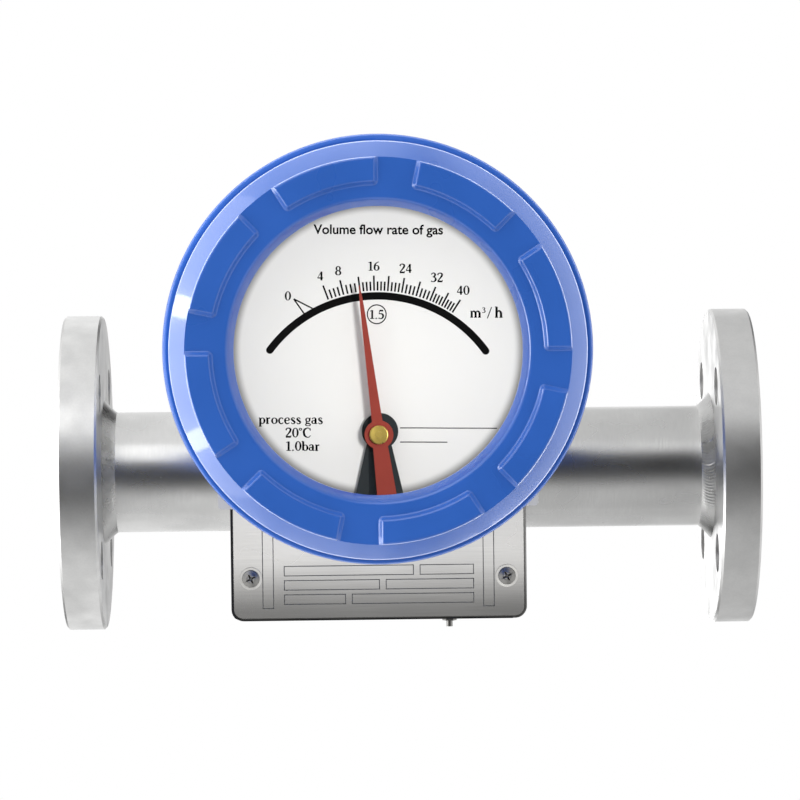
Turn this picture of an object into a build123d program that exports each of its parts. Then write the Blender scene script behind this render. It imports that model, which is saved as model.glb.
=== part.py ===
"""Horizontal metal-tube rotameter with a round magnetic indicator head.

A DN25 measuring tube lies along X between two plate flanges. A spring-loaded float slides inside it and
carries a magnet. A magnet arm in the indicator follows that magnet and turns a pointer over a round dial,
behind the glass of a screwed cover. A sheet-metal box round the tube carries the indicator.

Frame: origin at the centre of the inlet gasket face, +X along the flow, +Z up, -Y out of the dial.
Lengths are in millimetres.
"""

from build123d import *
import math
import os

# Pipe run: tube, flanges and their fillet welds
FACE_TO_FACE = 250.0
TUBE_RADIUS = 22.0
TUBE_WALL = 3.0
FLANGE_RADIUS = 57.5
FLANGE_THICKNESS = 14.0
FLANGE_EDGE = 0.8
FLANGE_BORE_RADIUS = 14.0
SOCKET_DEPTH = 6.0
BOLT_CIRCLE_RADIUS = 42.5
BOLT_HOLE_RADIUS = 7.0
BOLT_COUNT = 4
GASKET_GROOVES = 3
GASKET_GROOVE_RADIUS = 19.0
GASKET_GROOVE_PITCH = 3.5
GASKET_GROOVE_DEPTH = 0.5
WELD_LEG = 4.6
WELD_RISE = 4.6
WELD_HOLLOW = 0.8
SEAT_GAP = 0.05

# Float train: guides, cone, float, magnet and spring
GUIDE_START = 52.0
CONE_START = 68.0
CONE_LENGTH = 78.0
GUIDE_END = 192.0
CONE_LIP = 1.95
METERING_GAP = 0.3
SLEEVE_WALL = 2.0
SPOKE_COUNT = 3
SPOKE_WIDTH = 3.0
SPOKE_LENGTH = 6.0
GUIDE_BOSS_RADIUS = 5.5
BOSS_OVERHANG = 2.0
RING_THICKNESS = 1.2
RING_DEPTH = 0.8
RING_HEIGHT = 2.9
RING_OPENING = 9.0
ROD_RADIUS = 2.5
RUNNING_GAP = 0.05
FLOAT_TRAVEL_DOWN = 14.8
FLOAT_TRAVEL_UP = 25.2
ROD_SPARE = 1.2
FLOAT_OFFSET = -4.0
FLOAT_HEAD_RADIUS = 11.7
FLOAT_HEAD_THICKNESS = 1.5
FLOAT_NOSE_RADIUS = 6.0
FLOAT_NOSE_LENGTH = 14.0
FLOAT_BODY_RADIUS = 9.0
FLOAT_WALL = 6.0
FLOAT_MAGNET_RADIUS = 5.0
FLOAT_MAGNET_LENGTH = 20.0
FLOAT_CAP_SPIGOT = 3.0
FLOAT_CAP_FLANGE = 3.0
STOP_GAP = 0.3
SPRING_RADIUS = 6.4
SPRING_WIRE_RADIUS = 0.7
SPRING_TURNS = 6
SPRING_SEAT_RADIUS = 8.0
SPRING_GAP = 0.1

# Sheet-metal box round the tube
BOX_WIDTH = 105.6
BOX_RISE = 6.0
BOX_BELOW_TUBE = 29.4
BOX_CORNER = 4.3
SHEET = 2.0
BOX_FRONT = 43.5
BOX_BEHIND_TUBE = 5.0
SHELL_GAP = 0.2
SADDLE_GAP = 0.15
SADDLE_WELD = 2.2
NAMEPLATE_THICKNESS = 1.5
NAMEPLATE_EDGE = 1.0
CORNER_SCREW_SIDE = 7.1
CORNER_SCREW_RISE = 15.3
PILLAR_RADIUS = 3.5
CORNER_SCREW_RADIUS = 1.5
CORNER_SCREW_LENGTH = 9.0
PAN_HEAD_RADIUS = 2.85
PAN_HEAD_HEIGHT = 2.1
PAN_HEAD_SIDE = 0.9
PAN_HEAD_CROWN_RADIUS = 1.8
PAN_HEAD_ROUND = 0.6
CROSS_WIDTH = 0.8
CROSS_SPAN = 3.2
CROSS_DEPTH = 1.0
WASHER_RADIUS = 4.0
WASHER_THICKNESS = 0.8
EARTH_OFFSET = 25.4
EARTH_DEPTH = 30.0
EARTH_SCREW_RADIUS = 1.1
EARTH_SCREW_TAIL = 4.0
EARTH_HEAD_RADIUS = 2.2
EARTH_HEAD_HEIGHT = 2.2
EARTH_NUT_RADIUS = 2.6
EARTH_NUT_HEIGHT = 1.8

# Mounting plate between box and head
PLATE_OVERHANG = 4.2
PLATE_RISE = 37.2
PLATE_BELOW_NOSE = 6.4
PLATE_THICKNESS = 5.0
PLATE_CORNER = 1.5
HEAD_SCREW_SIDE = 15.8
HEAD_SCREW_RISE = 14.45
HEAD_SCREW_RADIUS = 3.0
HEAD_SCREW_HEAD_RADIUS = 5.0
HEAD_SCREW_HEAD_HEIGHT = 6.0
HEAD_SCREW_SOCKET = 2.5
HEAD_SCREW_SOCKET_DEPTH = 3.0
HEAD_SCREW_TAIL = 2.0
NUT_APOTHEM = 5.0
NUT_HEIGHT = 5.0
CLEARANCE_HOLE = 0.3

# Indicator head: position of the dial axis and of the pointer shaft
HEAD_X = 113.6
HEAD_Z = 46.8
PIVOT_DROP = 28.8

# Cast housing: radii, and distances in front of the tube axis
BASE_MARGIN = 9.0
BASE_CORNER = 8.0
BASE_THICKNESS = 7.0
NECK_LENGTH = 17.0
NECK_WALL = 13.5
NECK_BASE_DROP = 6.5
NECK_TOP_SETBACK = 14.0
HOUSING_RADIUS = 66.0
HOUSING_ROUND = 6.0
HOUSING_LENGTH = 38.0
HOUSING_BACK = 5.0
HOUSING_WALL = 6.0
RIM_OVERHANG = 7.4
RIM_THICKNESS = 8.0
RIM_ROUND = 2.0
MOUTH_STEP = 2.0
MOUTH_DEPTH = 12.0
NOSE_RADIUS = 22.5
NOSE_WALL = 3.0
NOSE_CLEARANCE = 2.0
NOSE_BACK = 3.0
ENTRY_RADIUS = 13.0
ENTRY_STANDOFF = 4.5
ENTRY_BORE_RADIUS = 9.5
ENTRY_RISE = 16.0
PLUG_LENGTH = 12.0
PLUG_SOCKET = 5.0
PLUG_SOCKET_DEPTH = 6.0

# Screwed cover with its window
COVER_GAP = 0.3
COVER_SETBACK = 2.6
COVER_SIDE = 12.0
COVER_HEIGHT = 17.7
COVER_CHAMFER = 5.6
COVER_FACE_WIDTH = 14.05
WINDOW_BEVEL_WIDTH = 2.45
WINDOW_BEVEL_DEPTH = 3.8
WINDOW_LIP = 5.0
PAD_COUNT = 8
PAD_SPAN = 33.4
PAD_TURN = 16.2
PAD_DEPTH = 9.5
PAD_HEIGHT = 1.6
PAD_SLOPE = 1.4
PAD_EDGE = 0.9
THREAD_GAP = 0.5
SKIRT_LENGTH = 10.3
SKIRT_WALL = 5.0
ORING_WIRE = 0.85
ORING_RISE = 3.0
GLASS_SEAT_WIDTH = 5.8
GLASS_THICKNESS = 6.0
GLASS_FIT = 0.2
SEAL_THICKNESS = 1.0
SEAL_WIDTH = 4.0
GLASS_RING_THICKNESS = 5.0

# Dial, pointer and magnet arm
DIAL_EDGE_GAP = 4.5
DIAL_THICKNESS = 1.0
DIAL_SINK = 6.0
DIAL_SCREW_EDGE = 3.3
DIAL_PILLAR_RADIUS = 3.0
DIAL_SCREW_RADIUS = 1.25
DIAL_SCREW_HEAD_RADIUS = 2.3
DIAL_SCREW_HEAD_HEIGHT = 1.5
DIAL_SCREW_LENGTH = 6.0
DIAL_HOLE_GAP = 0.15
BRACKET_THICKNESS = 1.6
BRACKET_EYE_RADIUS = 6.2
BRACKET_EYE_SHIFT = (0.4, 1.1)
BRACKET_NECK_WIDTH = 6.9
BRACKET_FOOT_WIDTH = 18.6
BRACKET_FOOT_GAP = 1.5
BRACKET_RIDGE_HEIGHT = 0.9
BRACKET_RIDGE_WIDTH = 2.4
BRACKET_RIDGE_CREST = 0.8
BRACKET_SCREW_SIDE = 6.0
BRACKET_SCREW_EDGE = 2.6
BRACKET_SCREW_RADIUS = 1.0
BRACKET_SCREW_HEAD_RADIUS = 1.9
BRACKET_SCREW_HEAD_HEIGHT = 1.2
BRACKET_SCREW_TAIL = 0.6
BRACKET_NUT_APOTHEM = 2.0
BRACKET_NUT_HEIGHT = 1.6
POINTER_GAP = 1.6
POINTER_THICKNESS = 0.9
POINTER_LENGTH = 51.0
POINTER_ROOT_WIDTH = 3.6
POINTER_TIP_WIDTH = 0.35
POINTER_HUB_RADIUS = 4.9
TAIL_EDGE_GAP = 1.5
TAIL_ROOT_WIDTH = 4.7
TAIL_END_WIDTH = 7.0
POINTER_REST = -6.84
CAP_RADIUS = 3.25
CAP_THICKNESS = 1.3
CAP_ROUND = 0.4
SHAFT_RADIUS = 1.5
SHAFT_TIP_RADIUS = 1.1
SHAFT_TIP_LENGTH = 1.6
BUSH_WALL = 1.5
BUSH_LENGTH = 3.5
SHAFT_END_GAP = 0.3
ARM_GAP = 2.0
ARM_THICKNESS = 3.0
ARM_HUB_RADIUS = 4.5
ARM_WIDTH = 5.0
ARM_REACH = 12.5
ARM_EYE_RADIUS = 4.2
FOLLOWER_MAGNET_RADIUS = 3.0
COUNTERWEIGHT_REACH = 11.0
COUNTERWEIGHT_RADIUS = 3.2
COUNTERWEIGHT_THICKNESS = 3.3

# Radii that follow from the sizes above
TUBE_BORE = TUBE_RADIUS - TUBE_WALL
INSERT_RADIUS = TUBE_BORE - SEAT_GAP
CONE_INLET_RADIUS = FLOAT_HEAD_RADIUS + METERING_GAP
CONE_OUTLET_RADIUS = INSERT_RADIUS - CONE_LIP
CAVITY_RADIUS = HOUSING_RADIUS - HOUSING_WALL
MOUTH_RADIUS = CAVITY_RADIUS + MOUTH_STEP
RIM_RADIUS = HOUSING_RADIUS + RIM_OVERHANG
NECK_BASE_RADIUS = NOSE_RADIUS + NECK_WALL
NECK_TOP_RADIUS = HOUSING_RADIUS - NECK_TOP_SETBACK
NOSE_INNER = NOSE_RADIUS - NOSE_WALL
ENTRY_REACH = HOUSING_RADIUS + ENTRY_STANDOFF
COVER_RADIUS = RIM_RADIUS - COVER_SETBACK
COVER_FACE_RADIUS = COVER_RADIUS - COVER_CHAMFER
PAD_INNER_RADIUS = COVER_FACE_RADIUS - PAD_DEPTH
WINDOW_BEVEL_RADIUS = COVER_FACE_RADIUS - COVER_FACE_WIDTH
WINDOW_RADIUS = WINDOW_BEVEL_RADIUS - WINDOW_BEVEL_WIDTH
GLASS_SEAT_RADIUS = WINDOW_RADIUS + GLASS_SEAT_WIDTH
SKIRT_RADIUS = MOUTH_RADIUS - THREAD_GAP
SKIRT_INNER = SKIRT_RADIUS - SKIRT_WALL
DIAL_RADIUS = CAVITY_RADIUS - DIAL_EDGE_GAP
DIAL_SCREW_CIRCLE = DIAL_RADIUS - DIAL_SCREW_EDGE
BUSH_BORE = SHAFT_RADIUS + RUNNING_GAP
BUSH_RADIUS = BUSH_BORE + BUSH_WALL
DIAL_HOLE_RADIUS = BUSH_RADIUS + DIAL_HOLE_GAP

# Levels in front of the tube axis that follow
BOX_REAR = TUBE_RADIUS + BOX_BEHIND_TUBE
NOSE_END = TUBE_RADIUS + NOSE_CLEARANCE
PLATE_BACK = BOX_FRONT + NAMEPLATE_THICKNESS
BASE_LEVEL = PLATE_BACK + PLATE_THICKNESS
NECK_LEVEL = BASE_LEVEL + BASE_THICKNESS
BODY_LEVEL = NECK_LEVEL + NECK_LENGTH
RIM_LEVEL = BODY_LEVEL + HOUSING_LENGTH
COVER_LEVEL = RIM_LEVEL + COVER_GAP
FACE_LEVEL = COVER_LEVEL + COVER_HEIGHT
GLASS_LEVEL = FACE_LEVEL - WINDOW_LIP
DIAL_LEVEL = RIM_LEVEL - DIAL_SINK
BRACKET_LEVEL = DIAL_LEVEL + DIAL_THICKNESS
POINTER_LEVEL = BRACKET_LEVEL + BRACKET_THICKNESS + BRACKET_RIDGE_HEIGHT + POINTER_GAP
CAP_LEVEL = POINTER_LEVEL + POINTER_THICKNESS
REAR_BUSH_LEVEL = NOSE_END + NOSE_BACK
ARM_LEVEL = REAR_BUSH_LEVEL + BUSH_LENGTH + ARM_GAP

# Other places and lengths that follow
PIVOT_Z = HEAD_Z - PIVOT_DROP
PLATE_TOP = HEAD_Z + PLATE_RISE
PLATE_BOTTOM = PIVOT_Z - NOSE_RADIUS - PLATE_BELOW_NOSE
PLATE_MIDDLE = (PLATE_TOP + PLATE_BOTTOM) / 2
PLATE_WIDTH = BOX_WIDTH + 2 * PLATE_OVERHANG
BOX_TOP = PLATE_TOP + BOX_RISE
BOX_BOTTOM = -TUBE_RADIUS - BOX_BELOW_TUBE
BOX_MIDDLE = (BOX_TOP + BOX_BOTTOM) / 2
BOX_HEIGHT = BOX_TOP - BOX_BOTTOM
HEAD_SCREW_X = BOX_WIDTH / 2 - HEAD_SCREW_SIDE
HEAD_SCREW_Z = (PLATE_TOP - PLATE_BOTTOM) / 2 - HEAD_SCREW_RISE
BASE_WIDTH = 2 * (HEAD_SCREW_X + BASE_MARGIN)
BASE_HEIGHT = 2 * (HEAD_SCREW_Z + BASE_MARGIN)
CONE_END = CONE_START + CONE_LENGTH
FLOAT_X = HEAD_X + FLOAT_OFFSET
TAIL_LENGTH = DIAL_RADIUS - PIVOT_DROP - TAIL_EDGE_GAP
BRACKET_FOOT_REACH = DIAL_RADIUS - PIVOT_DROP - BRACKET_FOOT_GAP

# Seats: local +Z runs along the flow on the pipe axes and towards the viewer on the others
INLET = Plane(origin=(0, 0, 0), x_dir=(0, 0, 1), z_dir=(1, 0, 0)).location
OUTLET = Plane(origin=(FACE_TO_FACE, 0, 0), x_dir=(0, 0, 1), z_dir=(-1, 0, 0)).location


def facing(x, z):
    """A seat whose local +Z points out of the dial and whose local X and Y are the frame's X and Z."""
    return Plane(origin=(x, 0, z), x_dir=(1, 0, 0), z_dir=(0, -1, 0)).location


HEAD = facing(HEAD_X, HEAD_Z)
PIVOT = facing(HEAD_X, PIVOT_Z)
BOX = facing(HEAD_X, BOX_MIDDLE)
PLATE = facing(HEAD_X, PLATE_MIDDLE)
MOVEMENT = PIVOT * Rot(0, 0, -POINTER_REST)


def turned(corners, rounds=()):
    """Solid of revolution about local Z from (radius, height) corners; rounds holds (corner number, size)."""
    outline = Polyline([(radius, 0, height) for radius, height in corners], close=True)
    profile = make_face(outline)
    for number, size in rounds:
        radius, height = corners[number]
        corner = profile.vertices().sort_by_distance((radius, 0, height))[0]
        profile = fillet(corner, size)
    return revolve(profile, Axis.Z)


def rod(radius, start, end, x=0.0, y=0.0):
    """Plain round bar along local Z from start to end."""
    return Pos(x, y, (start + end) / 2) * Cylinder(radius, end - start)


def ring(outer, inner, start, end):
    """Plain ring about local Z from start to end."""
    return turned([(inner, start), (outer, start), (outer, end), (inner, end)])


def slab(outline, start, end):
    """A flat outline made solid from start to end along local Z."""
    return Pos(0, 0, start) * extrude(outline, amount=end - start)


def strip(root, end, length, x=0.0):
    """Tapered strip outline from the origin up local Y, root wide at its start and end wide at its length."""
    corners = [(x - root / 2, 0), (x + root / 2, 0), (x + end / 2, length), (x - end / 2, length)]
    return make_face(Polyline(corners, close=True))


def corner_spots(rows=(-1, 1)):
    """Places of the corner screws on the box, for the rows asked for."""
    side = BOX_WIDTH / 2 - CORNER_SCREW_SIDE
    rise = BOX_HEIGHT / 2 - CORNER_SCREW_RISE
    return [(column * side, row * rise) for row in rows for column in (-1, 1)]


def head_screw_spots():
    """Places of the four screws through base, plate and box, on the plate's seat."""
    return [(column * HEAD_SCREW_X, row * HEAD_SCREW_Z) for row in (-1, 1) for column in (-1, 1)]


def dial_screw_spots():
    """Places of the four dial screws on the head's seat."""
    reach = DIAL_SCREW_CIRCLE / math.sqrt(2)
    return [(column * reach, row * reach) for row in (-1, 1) for column in (-1, 1)]


# Pipe run


def measuring_tube():
    """Tube seated in both flange sockets, with a groove for each retaining ring."""
    start = FLANGE_THICKNESS - SOCKET_DEPTH
    tube = ring(TUBE_RADIUS, TUBE_BORE, start, FACE_TO_FACE - start)
    groove_radius = TUBE_BORE + RING_DEPTH + SEAT_GAP
    for low, high in ring_grooves():
        tube -= ring(groove_radius, TUBE_BORE - 1, low - SEAT_GAP, high + SEAT_GAP)
    return INLET * tube


def ring_grooves():
    """Start and end of each retaining ring along the tube."""
    return [(GUIDE_START - RING_THICKNESS - SEAT_GAP, GUIDE_START - SEAT_GAP),
            (GUIDE_END + SEAT_GAP, GUIDE_END + RING_THICKNESS + SEAT_GAP)]


def flange(seat):
    """Plate flange with a socket for the tube, bolt holes and sealing grooves in its face."""
    socket_end = FLANGE_THICKNESS - SOCKET_DEPTH
    body = turned([
        (FLANGE_BORE_RADIUS, 0),
        (FLANGE_RADIUS - FLANGE_EDGE, 0),
        (FLANGE_RADIUS, FLANGE_EDGE),
        (FLANGE_RADIUS, FLANGE_THICKNESS - FLANGE_EDGE),
        (FLANGE_RADIUS - FLANGE_EDGE, FLANGE_THICKNESS),
        (TUBE_RADIUS + SEAT_GAP, FLANGE_THICKNESS),
        (TUBE_RADIUS + SEAT_GAP, socket_end),
        (FLANGE_BORE_RADIUS, socket_end),
    ])
    for spot in PolarLocations(BOLT_CIRCLE_RADIUS, BOLT_COUNT, start_angle=180 / BOLT_COUNT):
        body -= spot * rod(BOLT_HOLE_RADIUS, -1, FLANGE_THICKNESS + 1)
    for number in range(GASKET_GROOVES):
        radius = GASKET_GROOVE_RADIUS + number * GASKET_GROOVE_PITCH
        body -= turned([
            (radius - GASKET_GROOVE_DEPTH, 0),
            (radius, GASKET_GROOVE_DEPTH),
            (radius + GASKET_GROOVE_DEPTH, 0),
        ])
    return seat * body


def fillet_weld(seat):
    """Hollow fillet weld in the corner between flange and tube."""
    toe = (TUBE_RADIUS + WELD_RISE, 0, FLANGE_THICKNESS)
    end = (TUBE_RADIUS, 0, FLANGE_THICKNESS + WELD_LEG)
    middle = (TUBE_RADIUS + WELD_RISE / 2 - WELD_HOLLOW, 0, FLANGE_THICKNESS + WELD_LEG / 2)
    root = Polyline([end, (TUBE_RADIUS, 0, FLANGE_THICKNESS), toe])
    return seat * revolve(make_face(ThreePointArc(toe, middle, end) + root), Axis.Z)


# Float train


def guide(start, end, spoke_start, boss_start, boss_end, boss_radius):
    """Sleeve with a spider of spokes and a bored boss that guides the float's rod."""
    body = ring(INSERT_RADIUS, INSERT_RADIUS - SLEEVE_WALL, start, end)
    reach = INSERT_RADIUS - SLEEVE_WALL / 2
    spoke = Pos(reach / 2, 0, spoke_start + SPOKE_LENGTH / 2) * Box(reach, SPOKE_WIDTH, SPOKE_LENGTH)
    for number in range(SPOKE_COUNT):
        body += Rot(0, 0, number * 360 / SPOKE_COUNT) * spoke
    body += rod(boss_radius, boss_start, boss_end)
    body -= rod(ROD_RADIUS + RUNNING_GAP, boss_start - 1, boss_end + 1)
    return INLET * body


def nose_start():
    """Where the float's nose begins, from the float's own middle."""
    return -(FLOAT_MAGNET_LENGTH / 2 + FLOAT_WALL + FLOAT_HEAD_THICKNESS + FLOAT_NOSE_LENGTH)


def inlet_guide():
    """Upstream guide: its boss ends just short of the float's nose when the float is at zero."""
    stop = FLOAT_X + nose_start() - FLOAT_TRAVEL_DOWN - STOP_GAP
    return guide(GUIDE_START, CONE_START, GUIDE_START, GUIDE_START - BOSS_OVERHANG, stop, GUIDE_BOSS_RADIUS)


def outlet_boss():
    """Where the downstream guide's boss begins: the spring's seat."""
    return GUIDE_END - SPOKE_LENGTH - BOSS_OVERHANG


def outlet_guide():
    """Downstream guide: its boss is the seat of the float's spring."""
    return guide(CONE_END, GUIDE_END, GUIDE_END - SPOKE_LENGTH, outlet_boss(), GUIDE_END + BOSS_OVERHANG,
                 SPRING_SEAT_RADIUS)


def measuring_cone():
    """Tapered insert that widens downstream, so that the float's place follows the flow."""
    return INLET * turned([
        (CONE_INLET_RADIUS, CONE_START),
        (INSERT_RADIUS, CONE_START),
        (INSERT_RADIUS, CONE_END),
        (CONE_OUTLET_RADIUS, CONE_END),
    ])


def retaining_rings():
    """Two open snap rings that hold the stack of guides and cone in the tube."""
    outer = TUBE_BORE + RING_DEPTH
    rings = []
    for low, high in ring_grooves():
        clip = ring(outer, outer - RING_HEIGHT, low, high)
        opening = Box(4 * RING_HEIGHT, RING_OPENING, 2 * RING_THICKNESS)
        clip -= Pos(outer, 0, (low + high) / 2) * opening
        rings.append(INLET * clip)
    return rings


def float_seat():
    """Seat of the float train at its rest place."""
    return INLET * Pos(0, 0, FLOAT_X)


def float_body():
    """Float turned with its upstream rod: nose cone, sharp metering edge, and a cup for the magnet."""
    half = FLOAT_MAGNET_LENGTH / 2
    floor = -half - SEAT_GAP
    edge = -half - FLOAT_WALL
    nose = nose_start()
    mouth = half + FLOAT_CAP_SPIGOT
    tip = GUIDE_START - BOSS_OVERHANG - FLOAT_TRAVEL_UP - ROD_SPARE - FLOAT_X
    return float_seat() * turned([
        (0, tip),
        (ROD_RADIUS, tip),
        (ROD_RADIUS, nose),
        (FLOAT_NOSE_RADIUS, nose),
        (FLOAT_HEAD_RADIUS, edge - FLOAT_HEAD_THICKNESS),
        (FLOAT_BODY_RADIUS, edge),
        (FLOAT_BODY_RADIUS, mouth),
        (FLOAT_MAGNET_RADIUS + SEAT_GAP, mouth),
        (FLOAT_MAGNET_RADIUS + SEAT_GAP, floor),
        (0, floor),
    ])


def float_magnet():
    """Bar magnet in the float's cup."""
    half = FLOAT_MAGNET_LENGTH / 2
    return float_seat() * rod(FLOAT_MAGNET_RADIUS, -half, half)


def cap_face():
    """Where the float cap's flange ends and the spring begins, from the float's own middle."""
    return FLOAT_MAGNET_LENGTH / 2 + FLOAT_CAP_SPIGOT + FLOAT_CAP_FLANGE


def float_cap():
    """Plug that closes the float's cup, seats the spring and carries the downstream rod."""
    half = FLOAT_MAGNET_LENGTH / 2
    mouth = half + FLOAT_CAP_SPIGOT
    end = GUIDE_END + BOSS_OVERHANG + FLOAT_TRAVEL_DOWN + ROD_SPARE - FLOAT_X
    return float_seat() * turned([
        (0, half + SEAT_GAP),
        (FLOAT_MAGNET_RADIUS, half + SEAT_GAP),
        (FLOAT_MAGNET_RADIUS, mouth),
        (FLOAT_BODY_RADIUS, mouth),
        (FLOAT_BODY_RADIUS, cap_face()),
        (ROD_RADIUS, cap_face()),
        (ROD_RADIUS, end),
        (0, end),
    ])


def float_spring():
    """Coil spring between the float's cap and the downstream guide."""
    start = FLOAT_X + cap_face() + SPRING_GAP + SPRING_WIRE_RADIUS
    end = outlet_boss() - SPRING_GAP - SPRING_WIRE_RADIUS
    length = end - start
    coil = Helix(pitch=length / SPRING_TURNS, height=length, radius=SPRING_RADIUS)
    section = Plane(origin=coil @ 0, z_dir=coil % 0) * Circle(SPRING_WIRE_RADIUS)
    return INLET * Pos(0, 0, start) * sweep(section, path=coil)


# Box round the tube


def tube_passage():
    """Clearance for the tube through the box's walls."""
    return INLET * rod(TUBE_RADIUS + SADDLE_GAP, 0, FACE_TO_FACE)


def nose_passage():
    """Clearance for the housing's nose."""
    return PIVOT * rod(NOSE_RADIUS + CLEARANCE_HOLE, 0, BASE_LEVEL)


def head_screw_passages():
    """Clearance for the four screws of the head."""
    radius = HEAD_SCREW_RADIUS + CLEARANCE_HOLE
    return [PLATE * rod(radius, 0, NECK_LEVEL + 1, x, z) for x, z in head_screw_spots()]


def box_outline(inset=0.0):
    """Rounded outline of the box, or of its inside."""
    corner = BOX_CORNER - inset
    return RectangleRounded(BOX_WIDTH - 2 * inset, BOX_HEIGHT - 2 * inset, corner)


def corner_holes(start, end, rows=(-1, 1)):
    """Clearance holes of the corner screws on the box's seat."""
    radius = CORNER_SCREW_RADIUS + CLEARANCE_HOLE / 2
    return [rod(radius, start, end, x, z) for x, z in corner_spots(rows)]


def box_shell():
    """Front tray of the box, saddled on the front half of the tube."""
    shell = slab(box_outline(), 0, BOX_FRONT) - slab(box_outline(SHEET), -1, BOX_FRONT - SHEET)
    shell -= corner_holes(0, BOX_FRONT + 1, rows=(-1,))
    shell = BOX * shell - tube_passage() - nose_passage() - head_screw_passages()
    return shell - earth_spot() * rod(EARTH_SCREW_RADIUS + SEAT_GAP, -2 * SHEET, 1)


def rear_shell():
    """Rear tray of the box, closing round the back of the tube."""
    shell = slab(box_outline(), -BOX_REAR, -SHELL_GAP)
    shell -= slab(box_outline(SHEET), SHEET - BOX_REAR, 0)
    shell -= corner_holes(-BOX_REAR - 1, 0)
    return BOX * shell - tube_passage()


def box_pillars():
    """Four tapped pillars that join the two trays."""
    pillars = []
    for x, z in corner_spots():
        pillar = rod(PILLAR_RADIUS, SHEET - BOX_REAR, BOX_FRONT - SHEET, x, z)
        pillar -= rod(CORNER_SCREW_RADIUS + SEAT_GAP, -BOX_REAR, CORNER_SCREW_LENGTH - BOX_REAR + 1, x, z)
        if z < 0:
            pillar -= rod(CORNER_SCREW_RADIUS + SEAT_GAP, BOX_FRONT - CORNER_SCREW_LENGTH, BOX_FRONT, x, z)
        pillars.append(BOX * pillar)
    return pillars


def saddle_welds():
    """Fillet welds inside the box, along both half-round seats on the tube."""
    wall = BOX_WIDTH / 2 - SHEET
    bead = [(TUBE_RADIUS, wall), (TUBE_RADIUS + SADDLE_WELD, wall), (TUBE_RADIUS, wall - SADDLE_WELD)]
    welds = []
    for side in (1, -1):
        profile = make_face(Polyline([(radius, 0, side * depth) for radius, depth in bead], close=True))
        half = revolve(profile, Axis.Z, 180)
        welds.append(INLET * Pos(0, 0, HEAD_X) * half)
    return welds


def nameplate():
    """Engraved front plate of the box, pressed round along its edge."""
    plate = slab(box_outline(), BOX_FRONT, PLATE_BACK)
    plate = fillet(plate.faces().sort_by(Axis.Z)[-1].edges(), NAMEPLATE_EDGE)
    plate -= corner_holes(BOX_FRONT - 1, PLATE_BACK + 1, rows=(-1,))
    return BOX * plate - nose_passage() - head_screw_passages()


def pan_screw(length):
    """Cross-recessed pan-head screw, head upwards from its seat at zero."""
    head = turned([
        (0, 0),
        (PAN_HEAD_RADIUS, 0),
        (PAN_HEAD_RADIUS, PAN_HEAD_SIDE),
        (PAN_HEAD_CROWN_RADIUS, PAN_HEAD_HEIGHT),
        (0, PAN_HEAD_HEIGHT),
    ], rounds=[(3, PAN_HEAD_ROUND)])
    slot = Pos(0, 0, PAN_HEAD_HEIGHT) * Box(CROSS_SPAN, CROSS_WIDTH, 2 * CROSS_DEPTH)
    return head - slot - Rot(0, 0, 90) * slot + rod(CORNER_SCREW_RADIUS, -length, 0)


def flat_washer():
    """Washer under a corner screw, its seat at zero."""
    return ring(WASHER_RADIUS, CORNER_SCREW_RADIUS + SEAT_GAP, 0, WASHER_THICKNESS)


def front_screws():
    """Two lower corner screws through the front plate."""
    screw = Pos(0, 0, PLATE_BACK + WASHER_THICKNESS) * pan_screw(CORNER_SCREW_LENGTH)
    return [BOX * Pos(x, z, 0) * screw for x, z in corner_spots(rows=(-1,))]


def front_washers():
    """Washers under the front screws."""
    return [BOX * Pos(x, z, PLATE_BACK) * flat_washer() for x, z in corner_spots(rows=(-1,))]


def rear_screws():
    """Four corner screws through the rear tray, heads to the back."""
    screw = Rot(180, 0, 0) * pan_screw(CORNER_SCREW_LENGTH)
    return [BOX * Pos(x, z, -BOX_REAR - WASHER_THICKNESS) * screw for x, z in corner_spots()]


def rear_washers():
    """Washers under the rear screws."""
    washer = Rot(180, 0, 0) * flat_washer()
    return [BOX * Pos(x, z, -BOX_REAR) * washer for x, z in corner_spots()]


def earth_spot():
    """Seat of the earth screw on the box's floor, local +Z up."""
    return Pos(HEAD_X + EARTH_OFFSET, -EARTH_DEPTH, BOX_BOTTOM + SHEET)


def earth_screw():
    """Small screw down through the box's floor, head inside."""
    screw = rod(EARTH_SCREW_RADIUS, -SHEET - EARTH_SCREW_TAIL, 0)
    screw += rod(EARTH_HEAD_RADIUS, 0, EARTH_HEAD_HEIGHT)
    return earth_spot() * screw


def earth_nut():
    """Hexagon nut on the earth screw, under the floor."""
    nut = slab(RegularPolygon(EARTH_NUT_RADIUS, 6), -SHEET - EARTH_NUT_HEIGHT, -SHEET)
    return earth_spot() * (nut - rod(EARTH_SCREW_RADIUS + SEAT_GAP, -SHEET - EARTH_NUT_HEIGHT - 1, 0))


def mounting_plate():
    """Plate wider than the box, between the box and the head's base."""
    outline = RectangleRounded(PLATE_WIDTH, PLATE_TOP - PLATE_BOTTOM, PLATE_CORNER)
    return PLATE * slab(outline, PLATE_BACK, BASE_LEVEL) - nose_passage() - head_screw_passages()


def head_screws():
    """Four socket-head screws through base, plate, front plate and tray."""
    screws = []
    start = BOX_FRONT - SHEET - NUT_HEIGHT - HEAD_SCREW_TAIL
    top = NECK_LEVEL + HEAD_SCREW_HEAD_HEIGHT
    for x, z in head_screw_spots():
        screw = rod(HEAD_SCREW_RADIUS, start, NECK_LEVEL) + rod(HEAD_SCREW_HEAD_RADIUS, NECK_LEVEL, top)
        socket = RegularPolygon(HEAD_SCREW_SOCKET, 6, major_radius=False)
        screw -= slab(socket, top - HEAD_SCREW_SOCKET_DEPTH, top + 1)
        screws.append(PLATE * Pos(x, z, 0) * screw)
    return screws


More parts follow.
